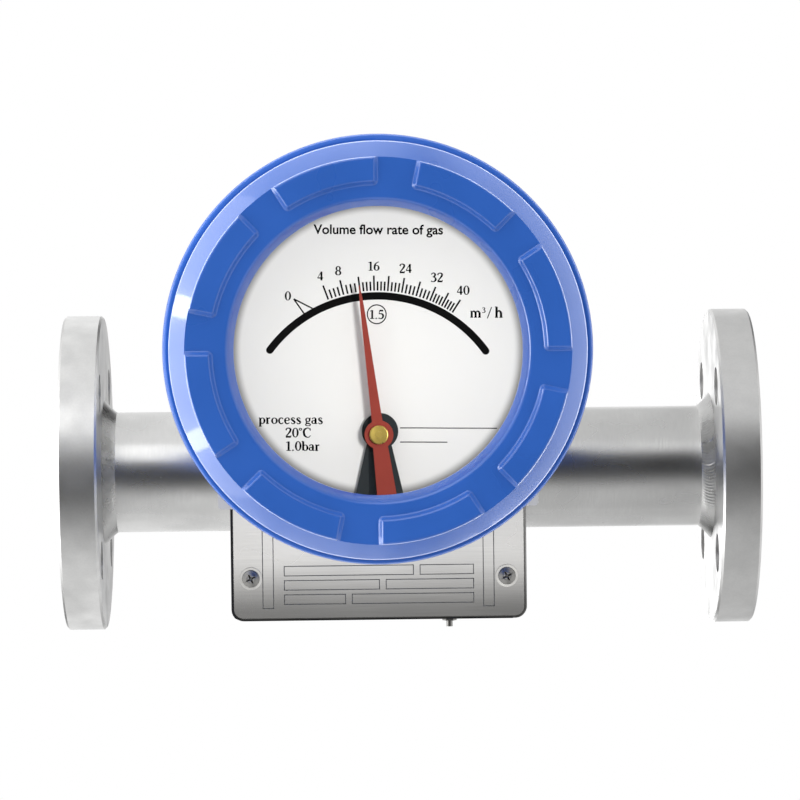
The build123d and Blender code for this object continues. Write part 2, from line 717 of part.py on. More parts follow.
def head_nuts():
    """Hexagon nuts of the head screws, inside the box."""
    top = BOX_FRONT - SHEET
    nut = slab(RegularPolygon(NUT_APOTHEM, 6, major_radius=False), top - NUT_HEIGHT, top)
    nut -= rod(HEAD_SCREW_RADIUS + SEAT_GAP, top - NUT_HEIGHT - 1, top + 1)
    return [PLATE * Pos(x, z, 0) * nut for x, z in head_screw_spots()]


# Indicator head


def housing_shape():
    """Outside of the casting: base, oblique neck, drum with its rim, nose and two entry bosses."""
    base = PLATE * slab(RectangleRounded(BASE_WIDTH, BASE_HEIGHT, BASE_CORNER), BASE_LEVEL, NECK_LEVEL)
    foot = facing(HEAD_X, PLATE_MIDDLE - NECK_BASE_DROP) * Pos(0, 0, NECK_LEVEL)
    top = HEAD * Pos(0, 0, BODY_LEVEL)
    neck = loft([foot * Circle(NECK_BASE_RADIUS), top * Circle(NECK_TOP_RADIUS)])
    drum = HEAD * turned([
        (0, BODY_LEVEL),
        (HOUSING_RADIUS, BODY_LEVEL),
        (HOUSING_RADIUS, RIM_LEVEL - RIM_THICKNESS),
        (RIM_RADIUS, RIM_LEVEL - RIM_THICKNESS),
        (RIM_RADIUS, RIM_LEVEL),
        (0, RIM_LEVEL),
    ], rounds=[(1, HOUSING_ROUND), (3, RIM_ROUND), (4, RIM_ROUND)])
    nose = PIVOT * rod(NOSE_RADIUS, NOSE_END, BASE_LEVEL + 1)
    return base + neck + drum + nose + [seat * rod(ENTRY_RADIUS, 0, ENTRY_REACH) for seat in entry_seats()]


def entry_seats():
    """Seats of the two cable entries: local +Z runs outwards, left and right of the drum."""
    level = BODY_LEVEL + ENTRY_RISE
    return [Plane(origin=(HEAD_X, -level, HEAD_Z), x_dir=(0, 0, 1), z_dir=(side, 0, 0)).location
            for side in (-1, 1)]


def head_housing():
    """Cast indicator housing, open to the front, with a closed nose that reaches back to the tube."""
    body = housing_shape()
    body -= HEAD * turned([
        (0, BODY_LEVEL + HOUSING_BACK),
        (CAVITY_RADIUS, BODY_LEVEL + HOUSING_BACK),
        (CAVITY_RADIUS, RIM_LEVEL - MOUTH_DEPTH),
        (MOUTH_RADIUS, RIM_LEVEL - MOUTH_DEPTH),
        (MOUTH_RADIUS, RIM_LEVEL + 1),
        (0, RIM_LEVEL + 1),
    ])
    body -= PIVOT * rod(NOSE_INNER, REAR_BUSH_LEVEL, BODY_LEVEL + HOUSING_BACK + 1)
    body += PIVOT * ring(BUSH_RADIUS + NOSE_WALL, BUSH_RADIUS + SEAT_GAP, REAR_BUSH_LEVEL - 1,
                         REAR_BUSH_LEVEL + BUSH_LENGTH)
    for seat in entry_seats():
        body -= seat * rod(ENTRY_BORE_RADIUS, CAVITY_RADIUS - ENTRY_BORE_RADIUS, ENTRY_REACH + 1)
    for passage in head_screw_passages():
        body -= passage
    return body


def blanking_plugs():
    """Socketed plugs that close both cable entries."""
    plug = rod(ENTRY_BORE_RADIUS - SEAT_GAP, ENTRY_REACH - PLUG_LENGTH, ENTRY_REACH)
    plug -= slab(RegularPolygon(PLUG_SOCKET, 6, major_radius=False), ENTRY_REACH - PLUG_SOCKET_DEPTH,
                 ENTRY_REACH + 1)
    return [seat * plug for seat in entry_seats()]


def pad_outline(inset):
    """Arc outline of a pad, with its inner wall and its ends drawn in by the inset."""
    inner = PAD_INNER_RADIUS + inset
    outer = COVER_FACE_RADIUS + 2 * PAD_HEIGHT
    half = math.radians(PAD_SPAN / 2) - 2 * inset / (inner + outer)

    def spot(radius, angle):
        return (radius * math.cos(angle), radius * math.sin(angle))

    outline = Line(spot(inner, -half), spot(outer, -half))
    outline += ThreePointArc(spot(outer, -half), spot(outer, 0), spot(outer, half))
    outline += Line(spot(outer, half), spot(inner, half))
    outline += ThreePointArc(spot(inner, half), spot(inner, 0), spot(inner, -half))
    return make_face(outline)


def cover_pad():
    """One raised pad on the cover's face: an arc block with sloping ends and inner wall."""
    block = loft([pad_outline(0), Pos(0, 0, PAD_HEIGHT) * pad_outline(PAD_SLOPE)], ruled=True)
    rounded = turned([
        (0, 0),
        (COVER_FACE_RADIUS, 0),
        (COVER_FACE_RADIUS, PAD_HEIGHT),
        (0, PAD_HEIGHT),
    ], rounds=[(2, PAD_EDGE)])
    return block & rounded


def front_cover():
    """Screwed cover: chamfered drum, raised pads for grip, bevelled window and a skirt for the thread."""
    skirt_end = COVER_LEVEL - SKIRT_LENGTH
    lid = turned([
        (SKIRT_INNER, skirt_end),
        (SKIRT_RADIUS, skirt_end),
        (SKIRT_RADIUS, COVER_LEVEL),
        (COVER_RADIUS, COVER_LEVEL),
        (COVER_RADIUS, COVER_LEVEL + COVER_SIDE),
        (COVER_FACE_RADIUS, FACE_LEVEL),
        (WINDOW_BEVEL_RADIUS, FACE_LEVEL),
        (WINDOW_RADIUS, FACE_LEVEL - WINDOW_BEVEL_DEPTH),
        (WINDOW_RADIUS, GLASS_LEVEL),
        (GLASS_SEAT_RADIUS, GLASS_LEVEL),
        (GLASS_SEAT_RADIUS, COVER_LEVEL),
        (SKIRT_INNER, COVER_LEVEL),
    ])
    for number in range(PAD_COUNT):
        turn = PAD_TURN + number * 360 / PAD_COUNT
        lid += Rot(0, 0, turn) * Pos(0, 0, FACE_LEVEL) * cover_pad()
    groove = skirt_end + ORING_RISE
    lid -= ring(SKIRT_RADIUS + 1, SKIRT_RADIUS - 2 * ORING_WIRE, groove - ORING_WIRE - SEAT_GAP,
                groove + ORING_WIRE + SEAT_GAP)
    return HEAD * lid


def cover_oring():
    """Sealing ring in the skirt's groove."""
    level = COVER_LEVEL - SKIRT_LENGTH + ORING_RISE
    middle = SKIRT_RADIUS - ORING_WIRE + 2 * SEAT_GAP
    return HEAD * Pos(0, 0, level) * Torus(middle, ORING_WIRE)


def window_glass():
    """Flat toughened glass behind the cover's lip."""
    return HEAD * rod(GLASS_SEAT_RADIUS - GLASS_FIT, GLASS_LEVEL - GLASS_THICKNESS, GLASS_LEVEL)


def glass_seal():
    """Flat seal behind the glass."""
    outer = GLASS_SEAT_RADIUS - GLASS_FIT
    top = GLASS_LEVEL - GLASS_THICKNESS
    return HEAD * ring(outer, outer - SEAL_WIDTH, top - SEAL_THICKNESS, top)


def glass_ring():
    """Threaded ring that clamps seal and glass in the cover."""
    outer = GLASS_SEAT_RADIUS - GLASS_FIT
    top = GLASS_LEVEL - GLASS_THICKNESS - SEAL_THICKNESS
    return HEAD * ring(outer, outer - SEAL_WIDTH, top - GLASS_RING_THICKNESS, top)


def bracket_screw_seats():
    """Seats of the two bracket screws near the foot of the bracket, with the dial's face at local zero."""
    reach = BRACKET_FOOT_REACH - BRACKET_SCREW_EDGE
    return [PIVOT * Pos(side * BRACKET_SCREW_SIDE, -reach, BRACKET_LEVEL) for side in (-1, 1)]


def bracket_screw_passages():
    """Close holes of the bracket screws through dial and bracket."""
    hole = rod(BRACKET_SCREW_RADIUS + SEAT_GAP, -DIAL_THICKNESS - 1, BRACKET_THICKNESS + 1)
    return [seat * hole for seat in bracket_screw_seats()]


def dial_plate():
    """Round printed dial with holes for its screws, the bracket's screws and the pointer's shaft."""
    plate = HEAD * rod(DIAL_RADIUS, DIAL_LEVEL, BRACKET_LEVEL)
    for x, z in dial_screw_spots():
        plate -= HEAD * rod(DIAL_SCREW_RADIUS + SEAT_GAP, DIAL_LEVEL - 1, BRACKET_LEVEL + 1, x, z)
    plate -= bracket_screw_passages()
    return plate - PIVOT * rod(DIAL_HOLE_RADIUS, DIAL_LEVEL - 1, BRACKET_LEVEL + 1)


def dial_pillars():
    """Four pillars that carry the dial off the housing's floor."""
    pillars = []
    tapped = BRACKET_LEVEL - DIAL_SCREW_LENGTH - 1
    for x, z in dial_screw_spots():
        pillar = rod(DIAL_PILLAR_RADIUS, BODY_LEVEL + HOUSING_BACK, DIAL_LEVEL, x, z)
        pillar -= rod(DIAL_SCREW_RADIUS + SEAT_GAP, tapped, DIAL_LEVEL + 1, x, z)
        pillars.append(HEAD * pillar)
    return pillars


def dial_screws():
    """Four small screws that hold the dial, outside the window."""
    screw = rod(DIAL_SCREW_RADIUS, BRACKET_LEVEL - DIAL_SCREW_LENGTH, BRACKET_LEVEL)
    screw += rod(DIAL_SCREW_HEAD_RADIUS, BRACKET_LEVEL, BRACKET_LEVEL + DIAL_SCREW_HEAD_HEIGHT)
    return [HEAD * Pos(x, z, 0) * screw for x, z in dial_screw_spots()]


def pointer_bracket():
    """Keyhole-shaped bracket on the dial that carries the front bearing: eye, flared leg and ridge."""
    shift_x, shift_z = BRACKET_EYE_SHIFT
    top = BRACKET_LEVEL + BRACKET_THICKNESS
    leg = mirror(strip(BRACKET_NECK_WIDTH, BRACKET_FOOT_WIDTH, BRACKET_FOOT_REACH), Plane.XZ)
    body = slab(leg, BRACKET_LEVEL, top) + rod(BRACKET_EYE_RADIUS, BRACKET_LEVEL, top, shift_x, shift_z)
    crest = -BRACKET_RIDGE_WIDTH / 2
    ridge = make_face(Polyline([
        (crest - BRACKET_RIDGE_WIDTH, top - BRACKET_THICKNESS / 2),
        (crest - BRACKET_RIDGE_WIDTH, top),
        (crest, top + BRACKET_RIDGE_HEIGHT),
        (crest + BRACKET_RIDGE_CREST, top + BRACKET_RIDGE_HEIGHT),
        (crest + BRACKET_RIDGE_WIDTH, top),
        (crest + BRACKET_RIDGE_WIDTH, top - BRACKET_THICKNESS / 2),
    ], close=True))
    length = BRACKET_FOOT_REACH - BRACKET_EYE_RADIUS
    along = Plane(origin=(0, -BRACKET_EYE_RADIUS, 0), x_dir=(1, 0, 0), z_dir=(0, -1, 0))
    body += along.location * extrude(ridge, amount=length)
    body -= rod(BUSH_RADIUS + SEAT_GAP, BRACKET_LEVEL - 1, top + BRACKET_RIDGE_HEIGHT + 1)
    return PIVOT * body - bracket_screw_passages()


def bracket_screws():
    """Two small screws through the bracket's foot and the dial."""
    start = -DIAL_THICKNESS - BRACKET_NUT_HEIGHT - BRACKET_SCREW_TAIL
    screw = rod(BRACKET_SCREW_RADIUS, start, BRACKET_THICKNESS)
    screw += rod(BRACKET_SCREW_HEAD_RADIUS, BRACKET_THICKNESS, BRACKET_THICKNESS + BRACKET_SCREW_HEAD_HEIGHT)
    return [seat * screw for seat in bracket_screw_seats()]


def bracket_nuts():
    """Hexagon nuts of the bracket screws, behind the dial."""
    outline = RegularPolygon(BRACKET_NUT_APOTHEM, 6, major_radius=False)
    nut = slab(outline, -DIAL_THICKNESS - BRACKET_NUT_HEIGHT, -DIAL_THICKNESS)
    nut -= rod(BRACKET_SCREW_RADIUS + SEAT_GAP, -DIAL_THICKNESS - BRACKET_NUT_HEIGHT - 1, 0)
    return [seat * nut for seat in bracket_screw_seats()]


def front_bearing():
    """Plain bush of the shaft in the bracket's eye."""
    start = BRACKET_LEVEL - DIAL_THICKNESS / 2
    return PIVOT * ring(BUSH_RADIUS, BUSH_BORE, start, start + BUSH_LENGTH)


def rear_bearing():
    """Plain bush of the shaft in the nose."""
    return PIVOT * ring(BUSH_RADIUS, BUSH_BORE, REAR_BUSH_LEVEL, REAR_BUSH_LEVEL + BUSH_LENGTH)


def pointer():
    """Flat pointer: tapering blade, round hub and a tail that widens to its end."""
    blade = strip(POINTER_ROOT_WIDTH, POINTER_TIP_WIDTH, POINTER_LENGTH)
    tail = mirror(strip(TAIL_ROOT_WIDTH, TAIL_END_WIDTH, TAIL_LENGTH), Plane.XZ)
    body = slab(blade, POINTER_LEVEL, CAP_LEVEL) + slab(tail, POINTER_LEVEL, CAP_LEVEL)
    body += rod(POINTER_HUB_RADIUS, POINTER_LEVEL, CAP_LEVEL)
    return MOVEMENT * (body - rod(SHAFT_RADIUS + SEAT_GAP, POINTER_LEVEL - 1, CAP_LEVEL + 1))


def pointer_cap():
    """Brass boss pressed on the shaft, which clamps the pointer."""
    top = CAP_LEVEL + CAP_THICKNESS
    return MOVEMENT * turned([
        (SHAFT_TIP_RADIUS + SEAT_GAP, CAP_LEVEL),
        (CAP_RADIUS, CAP_LEVEL),
        (CAP_RADIUS, top),
        (SHAFT_TIP_RADIUS + SEAT_GAP, top),
    ], rounds=[(2, CAP_ROUND)])


def pointer_shaft():
    """Shaft from the nose to the pointer, stepped down for the brass boss."""
    start = REAR_BUSH_LEVEL + SHAFT_END_GAP
    return MOVEMENT * (rod(SHAFT_RADIUS, start, CAP_LEVEL)
                       + rod(SHAFT_TIP_RADIUS, CAP_LEVEL, CAP_LEVEL + SHAFT_TIP_LENGTH))


def follower_arm():
    """Arm on the shaft inside the nose: magnet eye below, counterweight lug above."""
    top = ARM_LEVEL + ARM_THICKNESS
    body = rod(ARM_HUB_RADIUS, ARM_LEVEL, top + ARM_THICKNESS)
    middle = Pos(0, (COUNTERWEIGHT_REACH - ARM_REACH) / 2, (ARM_LEVEL + top) / 2)
    body += middle * Box(ARM_WIDTH, ARM_REACH + COUNTERWEIGHT_REACH, ARM_THICKNESS)
    body += rod(ARM_EYE_RADIUS, ARM_LEVEL, top, 0, -ARM_REACH)
    body -= rod(FOLLOWER_MAGNET_RADIUS + SEAT_GAP, ARM_LEVEL - 1, top + 1, 0, -ARM_REACH)
    body -= rod(SHAFT_RADIUS + SEAT_GAP, ARM_LEVEL - 1, top + ARM_THICKNESS + 1)
    return MOVEMENT * body


def follower_magnet():
    """Round magnet in the arm's eye, beside the tube."""
    return MOVEMENT * rod(FOLLOWER_MAGNET_RADIUS, ARM_LEVEL, ARM_LEVEL + ARM_THICKNESS, 0, -ARM_REACH)


def counterweight():
    """Round weight on the arm's upper end that balances the pointer."""
    start = ARM_LEVEL + ARM_THICKNESS
    end = start + COUNTERWEIGHT_THICKNESS
    return MOVEMENT * rod(COUNTERWEIGHT_RADIUS, start, end, 0, COUNTERWEIGHT_REACH)


NODES = {
    "measuring_tube": measuring_tube,
    "inlet_flange": lambda: flange(INLET),
    "outlet_flange": lambda: flange(OUTLET),
    "inlet_weld": lambda: fillet_weld(INLET),
    "outlet_weld": lambda: fillet_weld(OUTLET),
    "inlet_guide": inlet_guide,
    "outlet_guide": outlet_guide,
    "measuring_cone": measuring_cone,
    "retaining_rings": retaining_rings,
    "float_body": float_body,
    "float_magnet": float_magnet,
    "float_cap": float_cap,
    "float_spring": float_spring,
    "box_shell": box_shell,
    "rear_shell": rear_shell,
    "box_pillars": box_pillars,
    "saddle_welds": saddle_welds,
    "nameplate": nameplate,
    "front_screws": front_screws,
    "front_washers": front_washers,
    "rear_screws": rear_screws,
    "rear_washers": rear_washers,
    "earth_screw": earth_screw,
    "earth_nut": earth_nut,
    "mounting_plate": mounting_plate,
    "head_screws": head_screws,
    "head_nuts": head_nuts,
    "head_housing": head_housing,
    "blanking_plugs": blanking_plugs,
    "front_cover": front_cover,
    "cover_oring": cover_oring,
    "window_glass": window_glass,
    "glass_seal": glass_seal,
    "glass_ring": glass_ring,
    "dial_plate": dial_plate,
    "dial_pillars": dial_pillars,
    "dial_screws": dial_screws,
    "pointer_bracket": pointer_bracket,
    "bracket_screws": bracket_screws,
    "bracket_nuts": bracket_nuts,
    "front_bearing": front_bearing,
    "rear_bearing": rear_bearing,
    "pointer": pointer,
    "pointer_cap": pointer_cap,
    "pointer_shaft": pointer_shaft,
    "follower_arm": follower_arm,
    "follower_magnet": follower_magnet,
    "counterweight": counterweight,
}


def main():
    """Write one STEP file per node."""
    os.makedirs("parts", exist_ok=True)
    for name, make in NODES.items():
        piece = make()
        if isinstance(piece, list):
            piece = Compound(children=piece)
        piece.label = name
        export_step(piece, f"parts/{name}.step")


main()
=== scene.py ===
"""Looks of a flanged flow meter with a round dial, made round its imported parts.

The frame holds every part at its real size and place, in metres: +X runs along the pipe, +Z is up and the dial
looks towards -Y. This file gives each part its finish, remakes the cast cover, the welds and the corner screws
with the roundings that casting, welding and stamping leave, and adds the print of the dial, the pointer's blade,
the ruled fields of the plate, the threads and the stage.
"""

import math

import bmesh
import bpy
import numpy as np
from bpy.props import FloatProperty, FloatVectorProperty, IntProperty, PointerProperty
from mathutils import Matrix, Vector


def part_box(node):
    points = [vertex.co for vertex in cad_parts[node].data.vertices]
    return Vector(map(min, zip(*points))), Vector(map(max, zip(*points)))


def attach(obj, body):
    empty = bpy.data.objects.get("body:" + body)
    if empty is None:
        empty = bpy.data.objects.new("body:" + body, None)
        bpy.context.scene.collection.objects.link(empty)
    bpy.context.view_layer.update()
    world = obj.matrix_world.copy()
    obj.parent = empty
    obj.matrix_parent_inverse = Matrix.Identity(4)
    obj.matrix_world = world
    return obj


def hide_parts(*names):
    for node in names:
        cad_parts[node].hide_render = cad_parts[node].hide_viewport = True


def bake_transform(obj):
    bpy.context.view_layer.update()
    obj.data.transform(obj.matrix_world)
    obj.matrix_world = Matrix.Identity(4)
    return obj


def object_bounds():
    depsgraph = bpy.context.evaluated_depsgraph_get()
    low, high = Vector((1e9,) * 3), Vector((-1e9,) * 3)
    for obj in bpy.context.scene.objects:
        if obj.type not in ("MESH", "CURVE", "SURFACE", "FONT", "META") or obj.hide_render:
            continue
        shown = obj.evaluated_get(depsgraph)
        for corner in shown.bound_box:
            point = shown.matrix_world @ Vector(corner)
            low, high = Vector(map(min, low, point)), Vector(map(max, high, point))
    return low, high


bl_info = {
    "name": "Flow Meter",
    "version": (1, 0, 0),
    "blender": (4, 5, 0),
    "location": "3D View > Sidebar > Flow Meter",
    "description": "Finishes, cover, welds, print and stage of a flanged flow meter with a round dial",
    "category": "Object",
}

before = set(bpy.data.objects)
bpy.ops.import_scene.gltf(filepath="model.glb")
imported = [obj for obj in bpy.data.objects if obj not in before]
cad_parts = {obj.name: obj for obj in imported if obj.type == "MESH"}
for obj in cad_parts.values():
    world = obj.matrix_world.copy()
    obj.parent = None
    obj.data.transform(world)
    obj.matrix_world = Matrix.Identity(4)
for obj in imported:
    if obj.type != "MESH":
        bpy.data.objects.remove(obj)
CAD_LOW, CAD_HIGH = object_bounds()
MM = 0.001


def middle(node):
    """Centre of a part's box."""
    low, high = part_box(node)
    return (low + high) / 2


# Places and radii that the frame gives
HEAD = middle("front_cover")
PIVOT = middle("pointer_shaft")
COVER_LOW, COVER_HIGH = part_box("front_cover")
COVER_RADIUS = (COVER_HIGH.x - COVER_LOW.x) / 2
PAD_TOP = -COVER_LOW.y
SKIRT_END = -COVER_HIGH.y
DIAL_FACE = -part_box("dial_plate")[0].y
GLASS_TOP = -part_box("window_glass")[0].y
GLASS_RADIUS = (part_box("window_glass")[1].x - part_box("window_glass")[0].x) / 2
RIM_LEVEL = -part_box("head_housing")[0].y
PLATE_LOW, PLATE_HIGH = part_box("nameplate")
TUBE_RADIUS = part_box("measuring_tube")[1].z


def linear(value):
    """Linear red, green, blue and alpha of an sRGB hex value."""
    channels = [int(value[place:place + 2], 16) / 255 for place in (0, 2, 4)]
    return [c / 12.92 if c <= 0.04045 else ((c + 0.055) / 1.055) ** 2.4 for c in channels] + [1.0]


def length(name, description, size):
    """A length that a user can change, given in millimetres and kept in metres."""
    return FloatProperty(name=name, description=description, default=size * MM, min=0.0, unit="LENGTH",
                         precision=5)


def turning(name, description, degrees):
    """An angle that a user can change, given in degrees and kept in radians."""
    return FloatProperty(name=name, description=description, default=math.radians(degrees), subtype="ANGLE")


def where(name, description, place):
    """A place or shift that a user can change, in metres."""
    return FloatVectorProperty(name=name, description=description, default=place, size=len(place),
                               subtype="TRANSLATION", unit="LENGTH")


def colour(name, description, value):
    """A colour that a user can change, given as sRGB hex."""
    return FloatVectorProperty(name=name, description=description, subtype="COLOR", size=4, min=0.0, max=1.0,
                               default=linear(value))


class CoverSizes(bpy.types.PropertyGroup):
    """Sizes of the cast cover and of the threads"""

    side: length("Side", "Height of the straight side", 12.0)
    chamfer: length("Chamfer", "Radial width of the chamfer", 5.6)
    chamfer_slope: turning("Chamfer slope", "Slope of the chamfer, from the face", 45.5)
    bevel_radius: length("Bevel radius", "Outer radius of the window's bevel", 51.15)
    window_radius: length("Window radius", "Radius of the window", 48.7)
    bevel_depth: length("Bevel depth", "Depth of the window's bevel", 3.8)
    skirt_radius: length("Skirt radius", "Outer radius of the threaded skirt", 61.5)
    skirt_wall: length("Skirt wall", "Wall of the threaded skirt", 5.0)
    groove_rise: length("Groove rise", "Sealing groove, measured from the skirt's end", 3.0)
    groove_half: length("Groove half width", "Half the width of the sealing groove", 0.9)
    groove_depth: length("Groove depth", "Depth of the sealing groove", 1.7)
    edge: length("Edge round", "Rounding of the cover's edges", 0.55)
    bevel_edge: length("Bevel round", "Rounding between the face and the window's bevel", 1.5)
    lip: length("Lip round", "Rounding between the chamfer and the side", 1.4)
    pad_height: length("Pad height", "How far the pads stand up", 1.6)
    pad_depth: length("Pad depth", "Radial depth of a pad", 9.5)
    pad_slope: length("Pad slope", "Width of a pad's sloping wall", 1.4)
    pad_edge: length("Pad edge", "Rounding along a pad's outer edge", 0.9)
    pad_corner: length("Pad corner", "Rounding of a pad's inner corners", 1.6)
    pad_count: IntProperty(name="Pads", description="Number of pads", default=8, min=1)
    pad_span: turning("Pad span", "Angle that a pad covers", 33.4)
    pad_turn: turning("Pad turn", "Angle of the first pad's middle", 16.2)
    mouth_gap: length("Mouth gap", "Gap between the skirt and the housing's mouth", 0.5)
    thread_pitch: length("Thread pitch", "Pitch of the cover's thread", 1.5)
    thread_height: length("Thread height", "Height of a thread's ridge", 0.22)


class WeldSizes(bpy.types.PropertyGroup):
    """Sizes of the fillet welds between tube and flanges"""

    leg: length("Leg", "Length of the weld along the tube", 4.6)
    rise: length("Rise", "Height of the weld at the flange", 4.6)
    crown: length("Crown", "How far the bead swells between its two edges", 0.55)
    ripple: length("Ripple", "Height of the outlet weld's ripples", 0.13)
    fine_ripple: length("Fine ripple", "Height of the inlet weld's ripples", 0.04)
    ripple_pitch: length("Ripple pitch", "Distance between ripples", 1.15)
    lobe: length("Lobe", "Height of a bead's end where the next one starts", 0.5)


class PrintSizes(bpy.types.PropertyGroup):
    """Sizes of the dial's print"""

    film: length("Film", "Thickness of the print", 0.04)
    shift: where("Shift", "Centre of the scale, measured from the pivot", (-0.45 * MM, 1.6 * MM))
    turn: turning("Turn", "Turn of the print on the dial", -0.9)
    arc_radius: length("Arc radius", "Middle radius of the thick arc", 45.5)
    arc_width: length("Arc width", "Width of the thick arc", 2.55)
    arc_half: turning("Arc half angle", "Half the angle of the thick arc", 53.7)
    tick_start: length("Tick start", "Radius where the ticks begin", 47.3)
    tick_long: length("Long tick", "Length of a numbered tick", 5.1)
    tick_short: length("Short tick", "Length of a tick between", 3.1)
    tick_width: length("Tick width", "Width of a tick", 0.6)
    figure: length("Figure height", "Height of the numerals", 3.12)


class PlateSizes(bpy.types.PropertyGroup):
    """Sizes of the plate's ruled fields"""

    line: length("Line", "Width of an engraved line", 0.3)
    film: length("Film", "Thickness of the dark fill in the engraving", 0.02)
    field_height: length("Field height", "Height of a ruled field", 3.4)


class Colours(bpy.types.PropertyGroup):
    """Colours of the finishes"""

    paint: colour("Cover paint", "Gloss powder coat of the head", "2B62BE")
    steel: colour("Stainless steel", "Turned and drawn stainless steel", "DEDEDD")
    sheet: colour("Stainless sheet", "Brushed sheet of the box", "D0D0CF")
    etched: colour("Etched sheet", "Brushed and etched sheet of the front plate", "ABAAA8")
    bright: colour("Bright fasteners", "Rolled and stamped screws and washers", "A9A8A5")
    weld: colour("Weld", "Brushed weld metal", "CBCBCA")
    aluminium: colour("Aluminium", "Turned aluminium", "D5D6D8")
    brass: colour("Brass", "Turned brass", "DFC266")
    dial: colour("Dial", "White enamel of the dial", "EDEBE7")
    ink: colour("Ink", "Black printing ink", "040404")
    pointer: colour("Pointer", "Red lacquer", "90362A")
    bracket: colour("Bracket", "Black lacquer", "21272A")
    # The rubber colour is also the colour of the painted shade along the front plate's edges
    rubber: colour("Rubber", "Nitrile rubber", "1C1C1C")
    magnet: colour("Magnet", "Ground magnet alloy", "6A6C70")


class StageSizes(bpy.types.PropertyGroup):
    """Camera, lamps and floor"""

    camera_place: where("Camera", "Place of the camera", (0.10208, -1.51517, 0.08226))
    camera_yaw: turning("Yaw", "Camera's turn to the right", 0.77)
    camera_pitch: turning("Pitch", "Camera's tilt upwards", -2.15)
    camera_roll: turning("Roll", "Camera's turn about its own axis", -0.66)
    lens: FloatProperty(name="Lens", description="Focal length in millimetres", default=185.7)
    floor_drop: length("Floor drop", "Floor below the pipe's axis", 300.0)
    floor_radius: length("Floor radius", "Radius of the floor disc", 950.0)


# Shapes


def woven(grids):
    """Points, no edges and quads of (points, rows closed, columns closed) grids, whose neighbours are joined."""
    places, quads, count = [], [], 0
    for points, closed_rows, closed_columns in grids:
        rows, columns = points.shape[:2]
        index = count + np.arange(rows * columns).reshape(rows, columns)
        if closed_rows:
            index = np.vstack([index, index[:1]])
        if closed_columns:
            index = np.hstack([index, index[:, :1]])
        corners = [index[:-1, :-1], index[:-1, 1:], index[1:, 1:], index[1:, :-1]]
        quads.append(np.stack(corners, axis=-1).reshape(-1, 4))
        places.append(points.reshape(-1, 3))
        count += rows * columns
    return np.concatenate(places), [], np.concatenate(quads)


def placed(name, mesh, body, finish, replaced=()):
    """Put a mesh into the scene with its finish, its body if it rides on one and what it stands for."""
    made = bpy.data.objects.new(name, mesh)
    bpy.context.scene.collection.objects.link(made)
    mesh.materials.clear()
    mesh.materials.append(finish)
    if body:
        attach(made, body)
    if replaced:
        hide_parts(*replaced)
    return made


def piece(name, grids, body, finish, replaced=(), sharp=40):
    """Make a closed object from grids, shaded smooth up to the sharp angle in degrees.

    Points that fall together, as at a pole or a seam, are merged, and the faces are turned outwards.
    """
    mesh = bpy.data.meshes.new(name)
    mesh.from_pydata(*woven(grids))
    shape = bmesh.new()
    shape.from_mesh(mesh)
    bmesh.ops.remove_doubles(shape, verts=shape.verts, dist=2e-7)
    bmesh.ops.dissolve_degenerate(shape, edges=shape.edges, dist=1e-7)
    bmesh.ops.recalc_face_normals(shape, faces=shape.faces)
    shape.to_mesh(mesh)
    shape.free()
    mesh.shade_smooth()
    mesh.set_sharp_from_angle(angle=math.radians(sharp))
    placed(name, mesh, body, finish, replaced)


def rounded(corners, rounds, steps=6):
    """Outline through (a, b) corners, with the numbered corners replaced by tangent arcs of the given radii."""
    outline = []
    for number, corner in enumerate(corners):
        here = np.array(corner, float)
        radius = rounds.get(number, 0.0)
        if radius == 0.0:
            outline.append(here)
            continue
        before = np.array(corners[number - 1], float) - here
        after = np.array(corners[(number + 1) % len(corners)], float) - here
        before, after = before / np.linalg.norm(before), after / np.linalg.norm(after)
        half = math.acos(float(np.clip(before @ after, -1, 1))) / 2
        bisector = (before + after) / np.linalg.norm(before + after)
        centre = here + bisector * radius / math.sin(half)
        start = here + before * radius / math.tan(half) - centre
        end = here + after * radius / math.tan(half) - centre
        sweep = math.pi - 2 * half
        for share in np.linspace(0, 1, steps + 1):
            blend = (math.sin((1 - share) * sweep) * start + math.sin(share * sweep) * end) / math.sin(sweep)
            outline.append(centre + blend)
    return np.array(outline)


def between(start, end, spacing):
    """Even steps from start to end, no wider than the spacing."""
    return np.linspace(start, end, max(2, int(abs(end - start) / spacing) + 2))


def capped(rings):
    """Grid of a profile carried along a path, whose end rings are each drawn together into a point, to close it."""
    first, last = (ring.mean(axis=1, keepdims=True).repeat(rings.shape[1], axis=1) for ring in (rings[:1], rings[-1:]))
    return np.concatenate([first, rings, last]), False, True


def soft_step(share, foot, top):
    """0 below 0 and 1 above 1, straight between, with parabolic bends that reach foot and top to either side."""
    low = np.where(share < foot, np.clip(share + foot, 0, None) ** 2 / (4 * foot), share)
    drop = np.where(share > 1 - top, np.clip(share - 1 + top, 0, None), 0)
    high = share - drop ** 2 / (4 * top)
    return np.where(share < 0.5, low, np.where(share > 1 + top, 1.0, high))


def on_head(radius, angle, level):
    """Points at a radius and angle about the head's axis, at a level in front of the pipe's axis."""
    return np.stack([HEAD.x + radius * np.cos(angle), -level + 0 * angle, HEAD.z + radius * np.sin(angle)], axis=-1)


# The cover


def pad_angles(sizes):
    """Angles round the cover: close together where a pad ends, wide apart elsewhere."""
    fine, coarse, before_end, past_end = np.radians((0.11, 1.6, 2.4, 0.5))
    half_period = math.pi / sizes.pad_count
    low, high = sizes.pad_span / 2 - before_end, sizes.pad_span / 2 + past_end
    half = np.concatenate([between(0, low, coarse)[:-1], between(low, high, fine)[:-1],
                           between(high, half_period, coarse)])
    period = np.concatenate([-half[:0:-1], half[:-1]])
    turns = sizes.pad_turn + np.arange(sizes.pad_count)[:, None] * 2 * half_period
    return (turns + period).reshape(-1), np.tile(period, sizes.pad_count)


